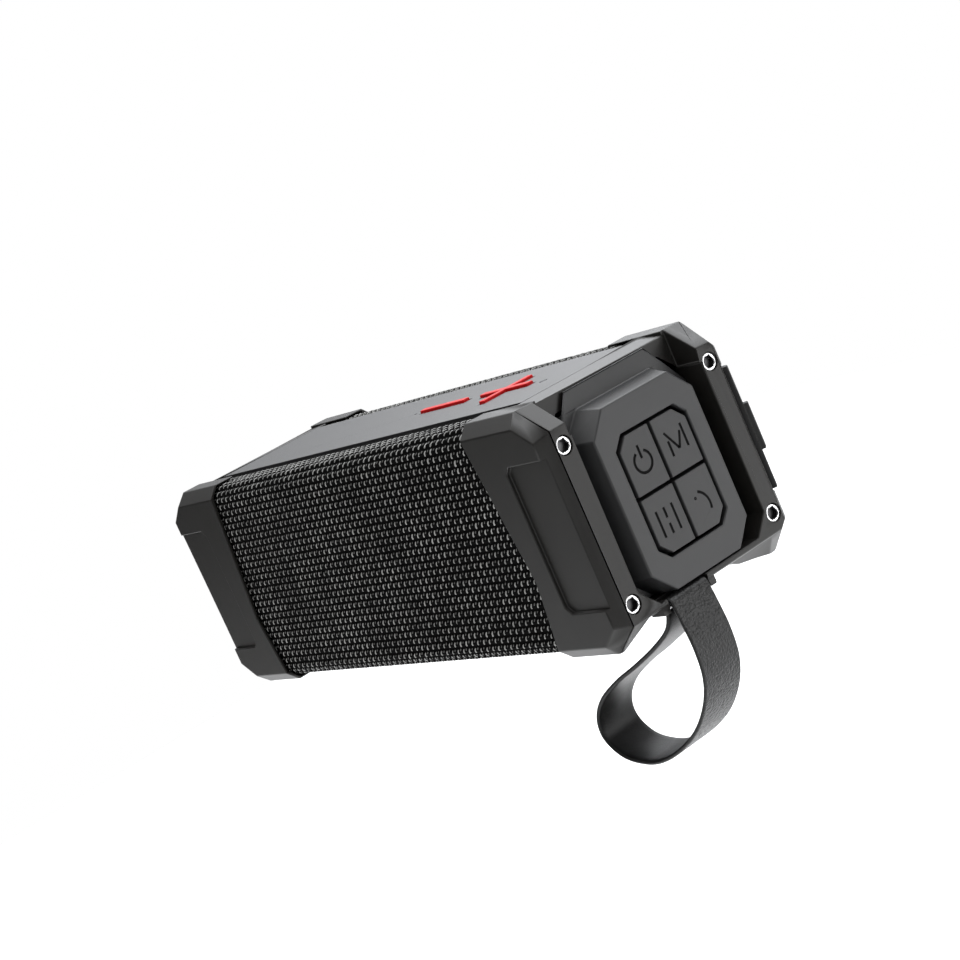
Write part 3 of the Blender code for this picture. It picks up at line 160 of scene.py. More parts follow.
# Name, colour and roughness, then the grain's width and strength
FRAME_PLASTIC = plastic("frame_plastic", (0.0088, 0.0082, 0.0074), 0.42, 0.22 * MM, 0.22, specular=0.28)
CAP_PLASTIC = plastic("cap_plastic", (0.017, 0.0172, 0.0178), 0.46, 0.16 * MM, 0.3)
KEY_PLASTIC = plastic("key_plastic", (0.019, 0.019, 0.0195), 0.50, 0.16 * MM, 0.3)
RED_SILICONE = plastic("red_silicone", (0.46, 0.006, 0.006), 0.5, 0.4 * MM, 0.08, specular=0.15)
RUBBER = plastic("rubber", (0.010, 0.010, 0.010), 0.62, 0.25 * MM, 0.2, specular=0.3)
INNER_PLASTIC = plastic("inner_plastic", (0.006, 0.006, 0.006), 0.6, 0.4 * MM, 0.2, specular=0.3)
CLOTH = plastic("mesh_cloth", (0.0010, 0.0010, 0.0010), 0.9, 0.25 * MM, 0.5, specular=0.05)
YARN = plastic("mesh_yarn", (0.24, 0.24, 0.232), 0.5, 0.10 * MM, 0.5, low=0.6, high=1.4)
YARN_DIM = plastic("mesh_yarn_dim", (0.075, 0.075, 0.072), 0.6, 0.10 * MM, 0.5, low=0.6, high=1.4)
INK = plastic("mark_ink", (0.0015, 0.0015, 0.0015), 0.7, 0.2 * MM, 0.1, specular=0.1)
BOARD = plastic("board_green", (0.02, 0.10, 0.05), 0.5, 0.5 * MM, 0.1)
CELL_WRAP = plastic("cell_wrap", (0.05, 0.16, 0.35), 0.4, 0.5 * MM, 0.1)
LENS = plastic("lens", (0.012, 0.012, 0.013), 0.5, 0.5 * MM, 0.02, specular=0.2)
CONE_PAPER = plastic("cone_paper", (0.03, 0.03, 0.035), 0.75, 0.3 * MM, 0.4)
CHROME = metal("screw_chrome", (0.80, 0.80, 0.81), 0.18)
# The sockets' dark steel is painted shade: the screws are one bright steel, darkened in the hollow
SOCKET_PAINTED_SHADE = metal("socket_painted_shade", (0.07, 0.07, 0.072), 0.4)
STEEL = metal("socket_steel", (0.55, 0.55, 0.56), 0.3)
MAGNET = metal("magnet_steel", (0.30, 0.30, 0.31), 0.4)
STRAP_OUTSIDE = leather("strap_outside", (0.007, 0.007, 0.007), 0.36, pebble=0.55 * MM, strength=1.0,
                        specular=0.3)
STRAP_INSIDE = leather("strap_inside", (0.004, 0.004, 0.004), 0.40, pebble=0.35 * MM, strength=0.25,
                       specular=0.2)

# Which material a CAD node or its rounded copy takes, by the record's slot
SLOT_MATERIALS = {
    "frame_plastic": FRAME_PLASTIC, "cap_plastic": CAP_PLASTIC, "mesh_fabric": CLOTH,
    "key_plastic": KEY_PLASTIC, "red_silicone": RED_SILICONE, "rubber": RUBBER,
    "inner_plastic": INNER_PLASTIC, "screw_steel": CHROME, "socket_steel": STEEL,
    "magnet_steel": MAGNET, "cone_paper": CONE_PAPER, "board_green": BOARD, "cell_wrap": CELL_WRAP,
    "lens": LENS, "strap_leather": STRAP_OUTSIDE,
}


def dress_nodes():
    for node, made in NODES.items():
        made.data.materials.clear()
        made.data.materials.append(SLOT_MATERIALS[NODE_SLOT[node]])


# Making pieces

WELD = 0.003 * MM
FLAT_ANGLE = 0.6               # degrees, the largest bend between triangles of one flat face
BEVEL_SEGMENTS = 3
LEAST_ANGLE = 20.0             # degrees, the slightest edge of a moulding that is rounded
LEAST_EDGE = 0.8 * MM
# The shares of its width that a rounding is tried at, from the full width down
BEVEL_SHARES = (1.0, 0.85, 0.7, 0.55, 0.4, 0.25, 0.12)
# A rounded copy's area over the plain one's. Outside these, a face counts as broken.
LEAST_AREA = 0.9
MOST_AREA = 1.03

END_LEAST_EDGE = 2.5 * MM
FRAME_BEVEL = 0.34 * MM
CAP_BEVEL = 0.42 * MM
PANEL_BEVEL = 0.25 * MM
SMALL_BEVEL = 0.3 * MM
BORE_ROOM = 0.5 * MM           # past a screw's head


def link(made):
    bpy.context.scene.collection.objects.link(made)


def place(made, node, materials, replaces=True):
    """Links a finished piece and says what it rides on and stands for."""
    link(made)
    for material in materials:
        made.data.materials.append(material)
    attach(made, NODE_BODY[node])
    if replaces:
        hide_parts(node)


def mesh_object(name, bm):
    mesh = bpy.data.meshes.new(name)
    bm.to_mesh(mesh)
    bm.free()
    return bpy.data.objects.new(name, mesh)


def node_bmesh(node):
    """A CAD node's shape with its flat faces whole again."""
    bm = bmesh.new()
    bm.from_mesh(NODES[node].data)
    bmesh.ops.remove_doubles(bm, verts=bm.verts, dist=WELD)
    bmesh.ops.dissolve_limit(bm, angle_limit=math.radians(FLAT_ANGLE), verts=bm.verts, edges=bm.edges)
    return bm


def bevel_edges(bm, width, least_angle, least_length, keep=None):
    """Rounds the sharp edges that are long enough, and that keep() allows."""
    chosen = []
    for edge in bm.edges:
        if len(edge.link_faces) != 2 or edge.calc_length() < least_length:
            continue
        if edge.calc_face_angle(0.0) < math.radians(least_angle):
            continue
        if keep and not keep(edge):
            continue
        chosen.append(edge)
    bmesh.ops.bevel(bm, geom=chosen, offset=width, offset_type='OFFSET', segments=BEVEL_SEGMENTS,
                    profile=0.5, affect='EDGES', clamp_overlap=False, loop_slide=True,
                    miter_outer='ARC', material=-1)


def shade(made, angle=40.0):
    """Smooth across the rounded edges, with the flat faces kept flat."""
    made.data.shade_smooth()
    made.data.set_sharp_from_angle(angle=math.radians(angle))
    level = made.modifiers.new("flat_faces", 'WEIGHTED_NORMAL')
    level.mode = 'FACE_AREA'
    level.weight = 100
    level.keep_sharp = True


def surface_area(bm):
    """The area of the faces as they are drawn, in triangles."""
    total = 0.0
    for a, b, c in bm.calc_loop_triangles():
        total += (b.vert.co - a.vert.co).cross(c.vert.co - a.vert.co).length / 2
    return total


def rounded_copy(node, width, least_length=LEAST_EDGE, keep=None):
    """A copy with rounded edges. The rounding gets smaller until it leaves every flat face whole."""
    plain = node_bmesh(node)
    plain_area = surface_area(plain)
    plain.free()
    for share in BEVEL_SHARES:
        bm = node_bmesh(node)
        bevel_edges(bm, width * share, LEAST_ANGLE, least_length, keep)
        if LEAST_AREA < surface_area(bm) / plain_area < MOST_AREA:
            break
        bm.free()
    else:
        bm = node_bmesh(node)
    bmesh.ops.recalc_face_normals(bm, faces=bm.faces)
    made = mesh_object(node + "_moulded", bm)
    shade(made)
    place(made, node, [SLOT_MATERIALS[NODE_SLOT[node]]])


def clear_of_screws(edge):
    """True for the edges that aren't part of a screw's bore."""
    for node in SCREW_NODES:
        low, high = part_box(node)
        centre = (low + high) / 2
        reach = (high.y - low.y) / 2 + BORE_ROOM
        near = [math.hypot(v.co.y - centre.y, v.co.z - centre.z) < reach for v in edge.verts]
        if all(near) and edge.verts[0].co.x * centre.x > 0:
            return False
    return True


def rounded_mouldings():
    for end in ("left", "right"):
        rounded_copy(end + "_end_frame", FRAME_BEVEL, END_LEAST_EDGE, clear_of_screws)
        rounded_copy(end + "_end_cap", CAP_BEVEL, END_LEAST_EDGE)
    rounded_copy("top_panel", PANEL_BEVEL)
    for node in ("port_cover", "base_pad", "volume_down_key", "volume_up_key"):
        rounded_copy(node, SMALL_BEVEL)


# Woven mesh over the grilles

COLUMN_PITCH = 2.65 * MM
ROW_PITCH = 2.08 * MM
ROW_RELIEF = 0.22 * MM
CLOTH_INSET = 0.45 * MM
CLOTH_THICKNESS = 0.5 * MM
CLOTH_STEPS = 8                # to a row
CLOTH_COLUMNS = 48
FOLD_CHAMFER = 2.9 * MM
FOLD_ROUND = 1.1 * MM
FOLD_STEPS = 4

YARN_LEAN = 0.42
YARN_FULLNESS = 0.8            # below 1, a float keeps its thickness towards its ends
YARN_SEEDS = {-1: 7, 1: 8}
YARN_SHIFT_X = 0.05 * MM       # how far a float strays along the body, along the fold, and in size
YARN_SHIFT_RUN = 0.04 * MM
YARN_SHIFT_SIZE = 0.07
LONG_YARN, SHORT_YARN = 0, 1   # the places of their materials


def grille_fold(side):
    """The grille's outer fold as a rounded path of (y, z), from the top inner edge to the bottom one."""
    low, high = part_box("front_grille" if side < 0 else "rear_grille")
    outer = (-low.y if side < 0 else high.y) - CLOTH_INSET
    inner = abs(high.y if side < 0 else low.y)
    top = high.z - CLOTH_INSET
    bottom = low.z + CLOTH_INSET
    corners = [(inner, top), (outer - FOLD_CHAMFER, top), (outer, top - FOLD_CHAMFER),
               (outer, bottom + FOLD_CHAMFER), (outer - FOLD_CHAMFER, bottom), (inner, bottom)]
    path = [Vector(corners[0])]
    for before, corner, after in zip(corners, corners[1:], corners[2:]):
        before, corner, after = Vector(before), Vector(corner), Vector(after)
        start = corner + (before - corner).normalized() * FOLD_ROUND
        end = corner + (after - corner).normalized() * FOLD_ROUND
        for step in range(FOLD_STEPS + 1):
            t = step / FOLD_STEPS
            path.append((1 - t) ** 2 * start + 2 * t * (1 - t) * corner + t * t * end)
    path.append(Vector(corners[-1]))
    return path


class Fold:
    """Walks along the fold: a point and an outward normal for any length from its start."""

    def __init__(self, side):
        self.side = side
        self.points = grille_fold(side)
        self.lengths = [0.0]
        for a, b in zip(self.points, self.points[1:]):
            self.lengths.append(self.lengths[-1] + (b - a).length)
        self.total = self.lengths[-1]
        low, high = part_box("front_grille")
        self.start_x, self.end_x = low.x, high.x
        directions = [(b - a).normalized() for a, b in zip(self.points, self.points[1:])]
        self.normals = [Vector((-directions[0].y, directions[0].x))]
        for a, b in zip(directions, directions[1:]):
            middle = (a + b).normalized()
            self.normals.append(Vector((-middle.y, middle.x)))
        self.normals.append(Vector((-directions[-1].y, directions[-1].x)))

    def at(self, run):
        run = min(max(run, 0.0), self.total)
        index = int(np.searchsorted(self.lengths, run, side='right')) - 1
        index = min(index, len(self.points) - 2)
        span = self.lengths[index + 1] - self.lengths[index]
        t = (run - self.lengths[index]) / span
        point = self.points[index].lerp(self.points[index + 1], t)
        normal = self.normals[index].lerp(self.normals[index + 1], t).normalized()
        return point, normal

    def place(self, x, run, height):
        """A point on the cloth: x along the body, run along the fold, height off the cloth."""
        point, normal = self.at(run)
        spot = point + normal * height
        return Vector((x, self.side * spot.x, spot.y))


def cloth_relief(run):
    return ROW_RELIEF * math.cos(2 * math.pi * run / ROW_PITCH)


def cloth_sheet(side, name, node):
    """The dark ground of the mesh: rows of cord that run along the body."""
    fold = Fold(side)
    rows = int(fold.total / (ROW_PITCH / CLOTH_STEPS))
    bm = bmesh.new()
    grid = []
    for j in range(rows + 1):
        run = fold.total * j / rows
        relief = cloth_relief(run)
        line = []
        for i in range(CLOTH_COLUMNS + 1):
            x = fold.start_x + (fold.end_x - fold.start_x) * i / CLOTH_COLUMNS
            line.append(bm.verts.new(fold.place(x, run, relief)))
        grid.append(line)
    for j in range(rows):
        for i in range(CLOTH_COLUMNS):
            bm.faces.new((grid[j][i], grid[j][i + 1], grid[j + 1][i + 1], grid[j + 1][i]))
    bmesh.ops.recalc_face_normals(bm, faces=bm.faces)
    made = mesh_object(name, bm)
    made.data.shade_smooth()
    solid = made.modifiers.new("thickness", 'SOLIDIFY')
    solid.thickness = CLOTH_THICKNESS
    outward = made.data.polygons[len(made.data.polygons) // 2].normal.y * side > 0
    solid.offset = -1.0 if outward else 1.0
    place(made, node, [CLOTH])


def yarn_template(around, along):
    """A float of yarn as an ellipsoid: rings of (along, across, height) with unit half sizes."""
    points = [(-1.0, 0.0, 0.0)]
    for ring in range(1, along):
        angle = math.pi * ring / along
        for step in range(around):
            turn = 2 * math.pi * step / around
            radius = math.sin(angle) ** YARN_FULLNESS
            points.append((-math.cos(angle), radius * math.cos(turn), radius * math.sin(turn)))
    points.append((1.0, 0.0, 0.0))
    faces = []
    for step in range(around):
        after = (step + 1) % around
        faces.append((0, 1 + after, 1 + step))
        for ring in range(along - 2):
            a = 1 + ring * around
            faces.append((a + step, a + after, a + around + after, a + around + step))
        last = 1 + (along - 2) * around
        faces.append((last + step, last + after, len(points) - 1))
    return points, faces


# The floats of one repeat: the place as shares of the column and row pitch, the half length, half width
# and half height, how far the middle stands up, the shape, and the material's place
YARN_KINDS = (
    (0.0, 0.0, 0.70 * MM, 0.33 * MM, 0.24 * MM, 0.06 * MM, yarn_template(8, 6), LONG_YARN),
    (0.5, -0.20, 0.42 * MM, 0.25 * MM, 0.18 * MM, 0.05 * MM, yarn_template(6, 4), SHORT_YARN),
)


def yarn_floats(side, name, node):
    """The bright yarns that cross each cord: a long one, and a short one between it and the next."""
    fold = Fold(side)
    rng = np.random.default_rng(YARN_SEEDS[side])
    verts, faces, shades = [], [], []
    columns = int((fold.end_x - fold.start_x) / COLUMN_PITCH) + 1
    rows = int(fold.total / ROW_PITCH)
    for row in range(rows + 1):
        for column in range(columns):
            for shift_x, shift_run, length, width, height, lift, (points, template), shade_at in YARN_KINDS:
                x = fold.start_x + (column + shift_x + 0.5) * COLUMN_PITCH + rng.normal(0, YARN_SHIFT_X)
                run = (row + shift_run) * ROW_PITCH + rng.normal(0, YARN_SHIFT_RUN)
                size = 1.0 + rng.normal(0, YARN_SHIFT_SIZE)
                if not fold.start_x + MM < x < fold.end_x - MM or not MM < run < fold.total - MM:
                    continue
                first = len(verts)
                for a, b, c in points:
                    along = a * length * size
                    point_x = x + b * width * size + side * YARN_LEAN * along
                    sag = 1.0 - a * a
                    point_z = lift * sag + c * height * size
                    verts.append(fold.place(point_x, run + along, point_z))
                faces.extend(tuple(first + k for k in face) for face in template)
                shades.extend([shade_at] * len(template))
    mesh = bpy.data.meshes.new(name)
    mesh.from_pydata(verts, [], faces)
    mesh.polygons.foreach_set("material_index", shades)
    bm = bmesh.new()
    bm.from_mesh(mesh)
    bmesh.ops.recalc_face_normals(bm, faces=bm.faces)
    bm.to_mesh(mesh)
    bm.free()
    made = bpy.data.objects.new(name, mesh)
    made.data.shade_smooth()
    place(made, node, [YARN, YARN_DIM], replaces=False)


def grilles():
    for side, word in ((-1, "front"), (1, "rear")):
        cloth_sheet(side, word + "_mesh_ground", word + "_grille")
        yarn_floats(side, word + "_mesh_yarns", word + "_grille")


# Marks on the keys

MARK_DEPTH = 0.30 * MM
MARK_STROKE = 0.75 * MM
DOT_STROKE = 0.35 * MM
LEAST_MITRE = 0.4              # stops a sharp corner's mitre from running out to a spike
PAINT_SINK = 0.02 * MM         # below the mark's floor
PAINT_RISE = 0.1 * MM          # above it
KEY_BEVEL = 0.28 * MM
KEY_LEAST_ANGLE = 30.0


def band(points, width):
    """The outline of a bent band with mitred sides, as (y, z) points."""
    line = [Vector(p) for p in points]
    left, right = [], []
    for i, point in enumerate(line):
        before = (point - line[i - 1]).normalized() if i else (line[1] - point).normalized()
        after = (line[i + 1] - point).normalized() if i < len(line) - 1 else before
        run = (before + after).normalized()
        across = Vector((-run.y, run.x)) * width / 2
        across /= max(run.dot(after), LEAST_MITRE)
        left.append(point + across)
        right.append(point - across)
    return left + right[::-1]


def line_mark(*points):
    """A band through (y, z) points in millimetres."""
    return band([(y * MM, z * MM) for y, z in points], MARK_STROKE)


def arc_mark(centre, radius, start, end, steps=28, stroke=MARK_STROKE):
    """A band along an arc, with its centre and radius in millimetres and its ends in degrees."""
    y, z = centre[0] * MM, centre[1] * MM
    turns = [math.radians(start + (end - start) * k / steps) for k in range(steps + 1)]
    return band([(y + radius * MM * math.cos(t), z + radius * MM * math.sin(t)) for t in turns], stroke)


def key_marks():
    """Each key's mark as outlines of (y, z) about the key's own middle."""
    return {
        "key_power": [arc_mark((0, -0.2), 2.75, 118, 422),
                      line_mark((0, 0.6), (0, 4.0))],
        "key_mode": [line_mark((-2.9, 3.2), (0.1, -2.0)),
                     line_mark((0.1, -2.0), (2.0, 1.9)),
                     line_mark((-2.6, 0.9), (-2.6, -3.1)),
                     line_mark((2.9, 3.4), (2.9, -2.6))],
        "key_equalizer": [line_mark((-2.7, 3.4), (-2.7, -3.4)),
                          line_mark((0, 3.4), (0, 0.7)),
                          line_mark((0, -0.7), (0, -3.4)),
                          line_mark((2.7, 3.4), (2.7, -3.4))],
        "key_call": [arc_mark((-1.9, -1.6), 4.1, -22, 68, steps=16),
                     arc_mark((-1.7, 1.0), 0.25, 0, 350, steps=10, stroke=DOT_STROKE)],
    }


def outline_prism(bm, outline, centre, start, end):
    """A closed outline of (y, z) points drawn out along x."""
    front = [bm.verts.new((end, centre.y + p[0], centre.z + p[1])) for p in outline]
    back = [bm.verts.new((start, centre.y + p[0], centre.z + p[1])) for p in outline]
    bm.faces.new(front)
    bm.faces.new(back[::-1])
    count = len(outline)
    for i in range(count):
        after = (i + 1) % count
        bm.faces.new((front[i], back[i], back[after], front[after]))


def cut_out(key, cutter):
    """Leaves the key with the cut mesh and without its modifier, and removes the cutter."""
    sink = key.modifiers.new("sink", 'BOOLEAN')
    sink.object = cutter
    sink.solver = 'EXACT'
    sink.use_self = True
    bpy.context.view_layer.update()
    graph = bpy.context.evaluated_depsgraph_get()
    mesh = bpy.data.meshes.new_from_object(key.evaluated_get(graph))
    key.modifiers.clear()
    key.data = mesh
    bpy.data.objects.remove(cutter)


def keys():
    """Keys with sunk marks and dark paint on the floor of each mark."""
    for node, outlines in key_marks().items():
        low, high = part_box(node)
        centre = (low + high) / 2
        mark_floor = high.x - MARK_DEPTH
        bm = node_bmesh(node)
        bevel_edges(bm, KEY_BEVEL, KEY_LEAST_ANGLE, LEAST_EDGE)
        key = mesh_object(node + "_moulded", bm)
        link(key)
        cutter_bm = bmesh.new()
        paint_bm = bmesh.new()
        for outline in outlines:
            outline_prism(cutter_bm, outline, centre, mark_floor, high.x + MM)
            outline_prism(paint_bm, outline, centre, mark_floor - PAINT_SINK, mark_floor + PAINT_RISE)
        for piece_bm in (cutter_bm, paint_bm):
            bmesh.ops.recalc_face_normals(piece_bm, faces=piece_bm.faces)
        cutter = mesh_object(node + "_cutter", cutter_bm)
        link(cutter)
        cut_out(key, cutter)
        bpy.context.scene.collection.objects.unlink(key)
        shade(key, angle=30.0)
        place(key, node, [KEY_PLASTIC])
        paint = mesh_object(node + "_mark", paint_bm)
        place(paint, node, [INK], replaces=False)


# Screws

HEAD_STEPS = 48
HEAD_ANGLES = [2 * math.pi * k / HEAD_STEPS for k in range(HEAD_STEPS)]
SOCKET_R = 1.78 * MM           # to the hexagon's corners
SOCKET_RADII = [SOCKET_R * math.cos(math.pi / 6) / math.cos((angle % (math.pi / 3)) - math.pi / 6)
                for angle in HEAD_ANGLES]
# In millimetres, from the foot to the rim: what the outline lies inside the head's radius, and its
# distance outwards from the head's face
HEAD_PROFILE = ((0.25, -2.4), (0, -2.2), (0, -0.45), (0.08, -0.16), (0.24, 0.0))
# The same for the socket's rim, as the distance outside the socket's corners
RIM_PROFILE = ((0.1, 0.0), (0.02, -0.1))
SOCKET_TOP = -0.2 * MM
SOCKET_FLOOR_X = -1.5 * MM


def head_ring(bm, x, centre_y, centre_z, radii):
    """A ring of vertices about a screw's axis."""
    return [bm.verts.new((x, centre_y + radius * math.cos(angle), centre_z + radius * math.sin(angle)))
            for radius, angle in zip(radii, HEAD_ANGLES)]


def screw_heads():
    """Bright socket heads with a rounded rim, and a hexagonal socket whose walls and floor are coloured
    dark steel as painted shade.
    """
    for node in SCREW_NODES:
        low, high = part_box(node)
        right = node.startswith("right")
        outward = 1 if right else -1
        face_x = high.x if right else low.x
        centre_y = (low.y + high.y) / 2
        centre_z = (low.z + high.z) / 2
        head_r = (high.y - low.y) / 2
        outline = [([head_r - inside * MM] * HEAD_STEPS, along * MM) for inside, along in HEAD_PROFILE]
        outline += [([SOCKET_R + outside * MM] * HEAD_STEPS, along * MM) for outside, along in RIM_PROFILE]
        outline += [(SOCKET_RADII, SOCKET_TOP), (SOCKET_RADII, SOCKET_FLOOR_X)]
        bm = bmesh.new()
        rings = [head_ring(bm, face_x + outward * along, centre_y, centre_z, radii)
                 for radii, along in outline]
        for near, far in zip(rings, rings[1:]):
            for k in range(HEAD_STEPS):
                after = (k + 1) % HEAD_STEPS
                bm.faces.new((near[k], near[after], far[after], far[k]))
        bm.faces.new(rings[-1])
        bm.faces.new(rings[0][::-1])
        bmesh.ops.recalc_face_normals(bm, faces=bm.faces)
        # The socket's walls and floor take the dark steel, which is painted shade in the hollow
        socket = rings[-1] + rings[-2]
        for face in bm.faces:
            if all(v in socket for v in face.verts):
                face.material_index = 1
        made = mesh_object(node + "_head", bm)
        shade(made, angle=50.0)
        place(made, node, [CHROME, SOCKET_PAINTED_SHADE])


# Strap

# The band's middle line as (x, z) in millimetres from the pin, after its turn round the pin
STRAP_ROUTE = (
    (2.3, -5.0), (2.7, -12.0), (1.5, -19.5), (-2.5, -26.5), (-9.5, -33.3), (-18.5, -38.5),
    (-27.5, -41.6), (-35.0, -42.0), (-42.5, -40.0), (-47.0, -35.0), (-46.3, -29.3), (-41.0, -23.8),
    (-32.0, -19.0), (-22.0, -15.0), (-12.5, -10.8), (-5.2, -6.7), (-2.1, -3.0),
)
STRAP_TURN_R = 1.65 * MM
STRAP_TURN = (180, 135, 90, 45, 0)
STRAP_THICKNESS = 1.2 * MM
STRAP_EDGE_R = 0.5 * MM
CURVE_STEPS = 12
STRAP_STEP = 0.22              # millimetres along the band
OUTSIDE_STEPS = 58
INSIDE_STEPS = 12
PEBBLE_SIZE = 0.72             # millimetres
PEBBLE_DEPTH = 0.14 * MM
PEBBLE_SPREAD = 1.3
PEBBLE_LAYER = 3.0             # which slice of the noise is used


def catmull(points, steps):
    """A smooth closed line through the points."""
    line = []
    count = len(points)
    for i in range(count):
        p0, p1, p2, p3 = (Vector(points[(i + k) % count]) for k in (-1, 0, 1, 2))
        for step in range(steps):
            t = step / steps
            bend = 2 * p0 - 5 * p1 + 4 * p2 - p3
            twist = -p0 + 3 * p1 - 3 * p2 + p3
            line.append((2 * p1 + (p2 - p0) * t + bend * t * t + twist * t * t * t) / 2)
    return line


def evenly(line, spacing):
    """A closed line's points at even steps."""
    closed = line + [line[0]]
    lengths = [0.0]
    for a, b in zip(closed, closed[1:]):
        lengths.append(lengths[-1] + (b - a).length)
    count = int(lengths[-1] / spacing)
    spots = np.linspace(0.0, lengths[-1], count, endpoint=False)
    xs = np.interp(spots, lengths, [p.x for p in closed])
    zs = np.interp(spots, lengths, [p.y for p in closed])
    return [Vector((x, z)) for x, z in zip(xs, zs)]


def strap_section(half_width, half):
    """The section as (y, height, pebbled): the outside, an edge, the inside, and the other edge."""
    edge = STRAP_EDGE_R
    start = -half_width + edge
    end = half_width - edge
    flat = 2 * half_width - 2 * edge
    section = [(start + flat * k / OUTSIDE_STEPS, half, True) for k in range(OUTSIDE_STEPS + 1)]
    for angle in (60, 30, 0, -30, -60):
        turn = math.radians(angle)
        section.append((end + edge * math.cos(turn), half * math.sin(turn), False))
    section += [(end - flat * k / INSIDE_STEPS, -half, False) for k in range(INSIDE_STEPS + 1)]
    for angle in (-120, -150, 180, 150, 120):
        turn = math.radians(angle)
        section.append((start + edge * math.cos(turn), half * math.sin(turn), False))
    return section


def strap():
    """The leather band: pebbled outside, smoother inside, with rounded edges."""
    pin_low, pin_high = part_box("strap_pin")
    pin = (pin_low + pin_high) / 2
    low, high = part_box("strap")
    route = [(STRAP_TURN_R * math.cos(math.radians(a)), STRAP_TURN_R * math.sin(math.radians(a)))
             for a in STRAP_TURN]
    route += [(x * MM, z * MM) for x, z in STRAP_ROUTE]
    line = evenly(catmull(route, CURVE_STEPS), STRAP_STEP * MM)
    count = len(line)
    middle_y = (low.y + high.y) / 2
    section = strap_section((high.y - low.y) / 2, STRAP_THICKNESS / 2)
    bm = bmesh.new()
    rings = []
    for i, point in enumerate(line):
        run = (line[(i + 1) % count] - line[i - 1]).normalized()
        out = Vector((-run.y, run.x))
        ring = []
        for y, height, pebbled in section:
            if pebbled:
                spot = Vector((i * STRAP_STEP, y / MM, PEBBLE_LAYER)) / PEBBLE_SIZE
                distances, _ = noise.voronoi(spot)
                height -= PEBBLE_DEPTH * min(1.0, distances[0] * PEBBLE_SPREAD)
            place_2d = point + out * height
            ring.append(bm.verts.new((pin.x + place_2d.x, middle_y + y, pin.z + place_2d.y)))
        rings.append(ring)
    size = len(section)
    for i in range(count):
        near, far = rings[i], rings[(i + 1) % count]
        for k in range(size):
            after = (k + 1) % size
            face = bm.faces.new((near[k], near[after], far[after], far[k]))
            # The outside's leather goes on to the middle of each edge
            face.material_index = 0 if k < OUTSIDE_STEPS + 3 or k > size - 3 else 1
    bmesh.ops.recalc_face_normals(bm, faces=bm.faces)
    made = mesh_object("strap_band", bm)
    made.data.shade_smooth()
    place(made, "strap", [STRAP_OUTSIDE, STRAP_INSIDE])


# Floor, lights and camera

FLOOR_Z = -0.25
FLOOR_HALF_SIDE = 1.2
FLOOR_COLOUR = (0.92, 0.92, 0.92)
FLOOR_MOTTLE = 0.6

WHITE = (1.0, 1.0, 1.0)
COOL_WHITE = (0.95, 0.97, 1.0)
# Name, place, side in metres, watts and colour of each square lamp
LAMPS = (
    ("top_box", (-0.15, 0.50, 0.80), 1.5, 22.0, COOL_WHITE),
    ("end_box", (0.80, 0.50, 0.02), 0.6, 3.6, WHITE),
    ("back_box", (-1.0, 0.66, 0.38), 1.6, 4.2, COOL_WHITE),
    ("edge_box", (0.60, -0.85, 0.15), 0.35, 1.2, WHITE),
)
WORLD_LIGHT = 0.10             # what the world gives the object
WORLD_SEEN = 1.0               # what the camera sees of it
SKY_STRENGTH = 3.2
SKY_ANGLE = 110.0              # degrees, wide enough to cast no shadow edge

# The camera's place from the body's middle, and its axes: azimuth 55.7, elevation 8.6, roll 23.9 degrees
CAMERA_PLACE = Vector((478.515, -313.212, 93.817)) * MM
CAMERA_RIGHT = Vector((0.56593, 0.72071, -0.40037))
CAMERA_DOWN = Vector((-0.11518, -0.41175, -0.90399))
CAMERA_FORWARD = Vector((-0.81637, 0.55771, -0.15001))
CAMERA_LENS = 78.39
CAMERA_SENSOR = 36.0


def stage():
    bm = bmesh.new()
    bmesh.ops.create_grid(bm, x_segments=1, y_segments=1, size=FLOOR_HALF_SIDE)
    bmesh.ops.translate(bm, vec=(0, 0, FLOOR_Z), verts=bm.verts)
    floor = mesh_object("floor", bm)
    link(floor)
    material, tree, shader = new_material("floor_paper", FLOOR_COLOUR, 0.9)
    add_mottle(tree, shader, FLOOR_COLOUR, FLOOR_MOTTLE, 0.995, 1.0)
    floor.data.materials.append(material)


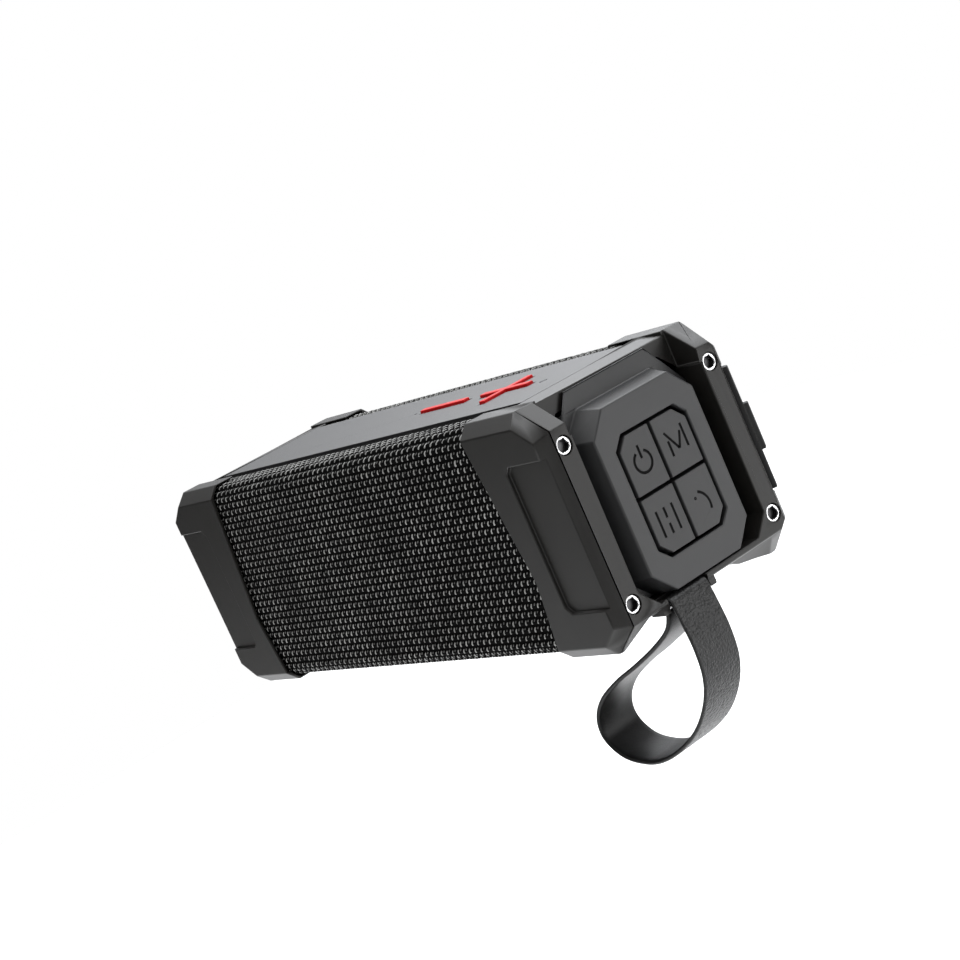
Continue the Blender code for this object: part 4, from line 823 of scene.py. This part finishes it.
def area_light(name, place_at, size, power, colour):
    """A square lamp aimed at the body's middle."""
    data = bpy.data.lights.new(name, 'AREA')
    data.shape = 'RECTANGLE'
    data.size = size
    data.size_y = size
    data.energy = power
    data.color = colour
    lamp = bpy.data.objects.new(name, data)
    lamp.location = place_at
    aim = Vector((0.0, 0.0, MID_Z)) - Vector(place_at)
    lamp.rotation_euler = aim.to_track_quat('-Z', 'Y').to_euler()
    link(lamp)


def world_light(scene):
    """A dim white world that the camera sees as pure white."""
    world = bpy.data.worlds.new("studio")
    world.use_nodes = True
    scene.world = world
    tree = world.node_tree
    background = tree.nodes["Background"]
    rays = tree.nodes.new("ShaderNodeLightPath")
    strength = tree.nodes.new("ShaderNodeMapRange")
    strength.inputs["To Min"].default_value = WORLD_LIGHT
    strength.inputs["To Max"].default_value = WORLD_SEEN
    tree.links.new(rays.outputs["Is Camera Ray"], strength.inputs["Value"])
    tree.links.new(strength.outputs["Result"], background.inputs["Strength"])
    background.inputs["Color"].default_value = (1.0, 1.0, 1.0, 1.0)


def lights():
    scene = bpy.context.scene
    scene.view_settings.view_transform = 'Standard'
    world_light(scene)
    for name, place_at, size, power, colour in LAMPS:
        area_light(name, place_at, size, power, colour)
    sky = bpy.data.lights.new("sky", 'SUN')
    sky.energy = SKY_STRENGTH
    sky.angle = math.radians(SKY_ANGLE)
    sky_lamp = bpy.data.objects.new("sky", sky)
    sky_lamp.location = (0, 0, 1.5)
    link(sky_lamp)


def camera():
    data = bpy.data.cameras.new("camera")
    data.lens = CAMERA_LENS
    data.sensor_width = CAMERA_SENSOR
    data.clip_start = 0.01
    data.clip_end = 50.0
    made = bpy.data.objects.new("camera", data)
    turn = Matrix((CAMERA_RIGHT, -CAMERA_DOWN, -CAMERA_FORWARD)).transposed()
    made.matrix_world = Matrix.Translation(CAMERA_PLACE + Vector((0, 0, MID_Z))) @ turn.to_4x4()
    link(made)
    bpy.context.scene.camera = made


dress_nodes()
rounded_mouldings()
grilles()
keys()
screw_heads()
strap()
stage()
lights()
camera()
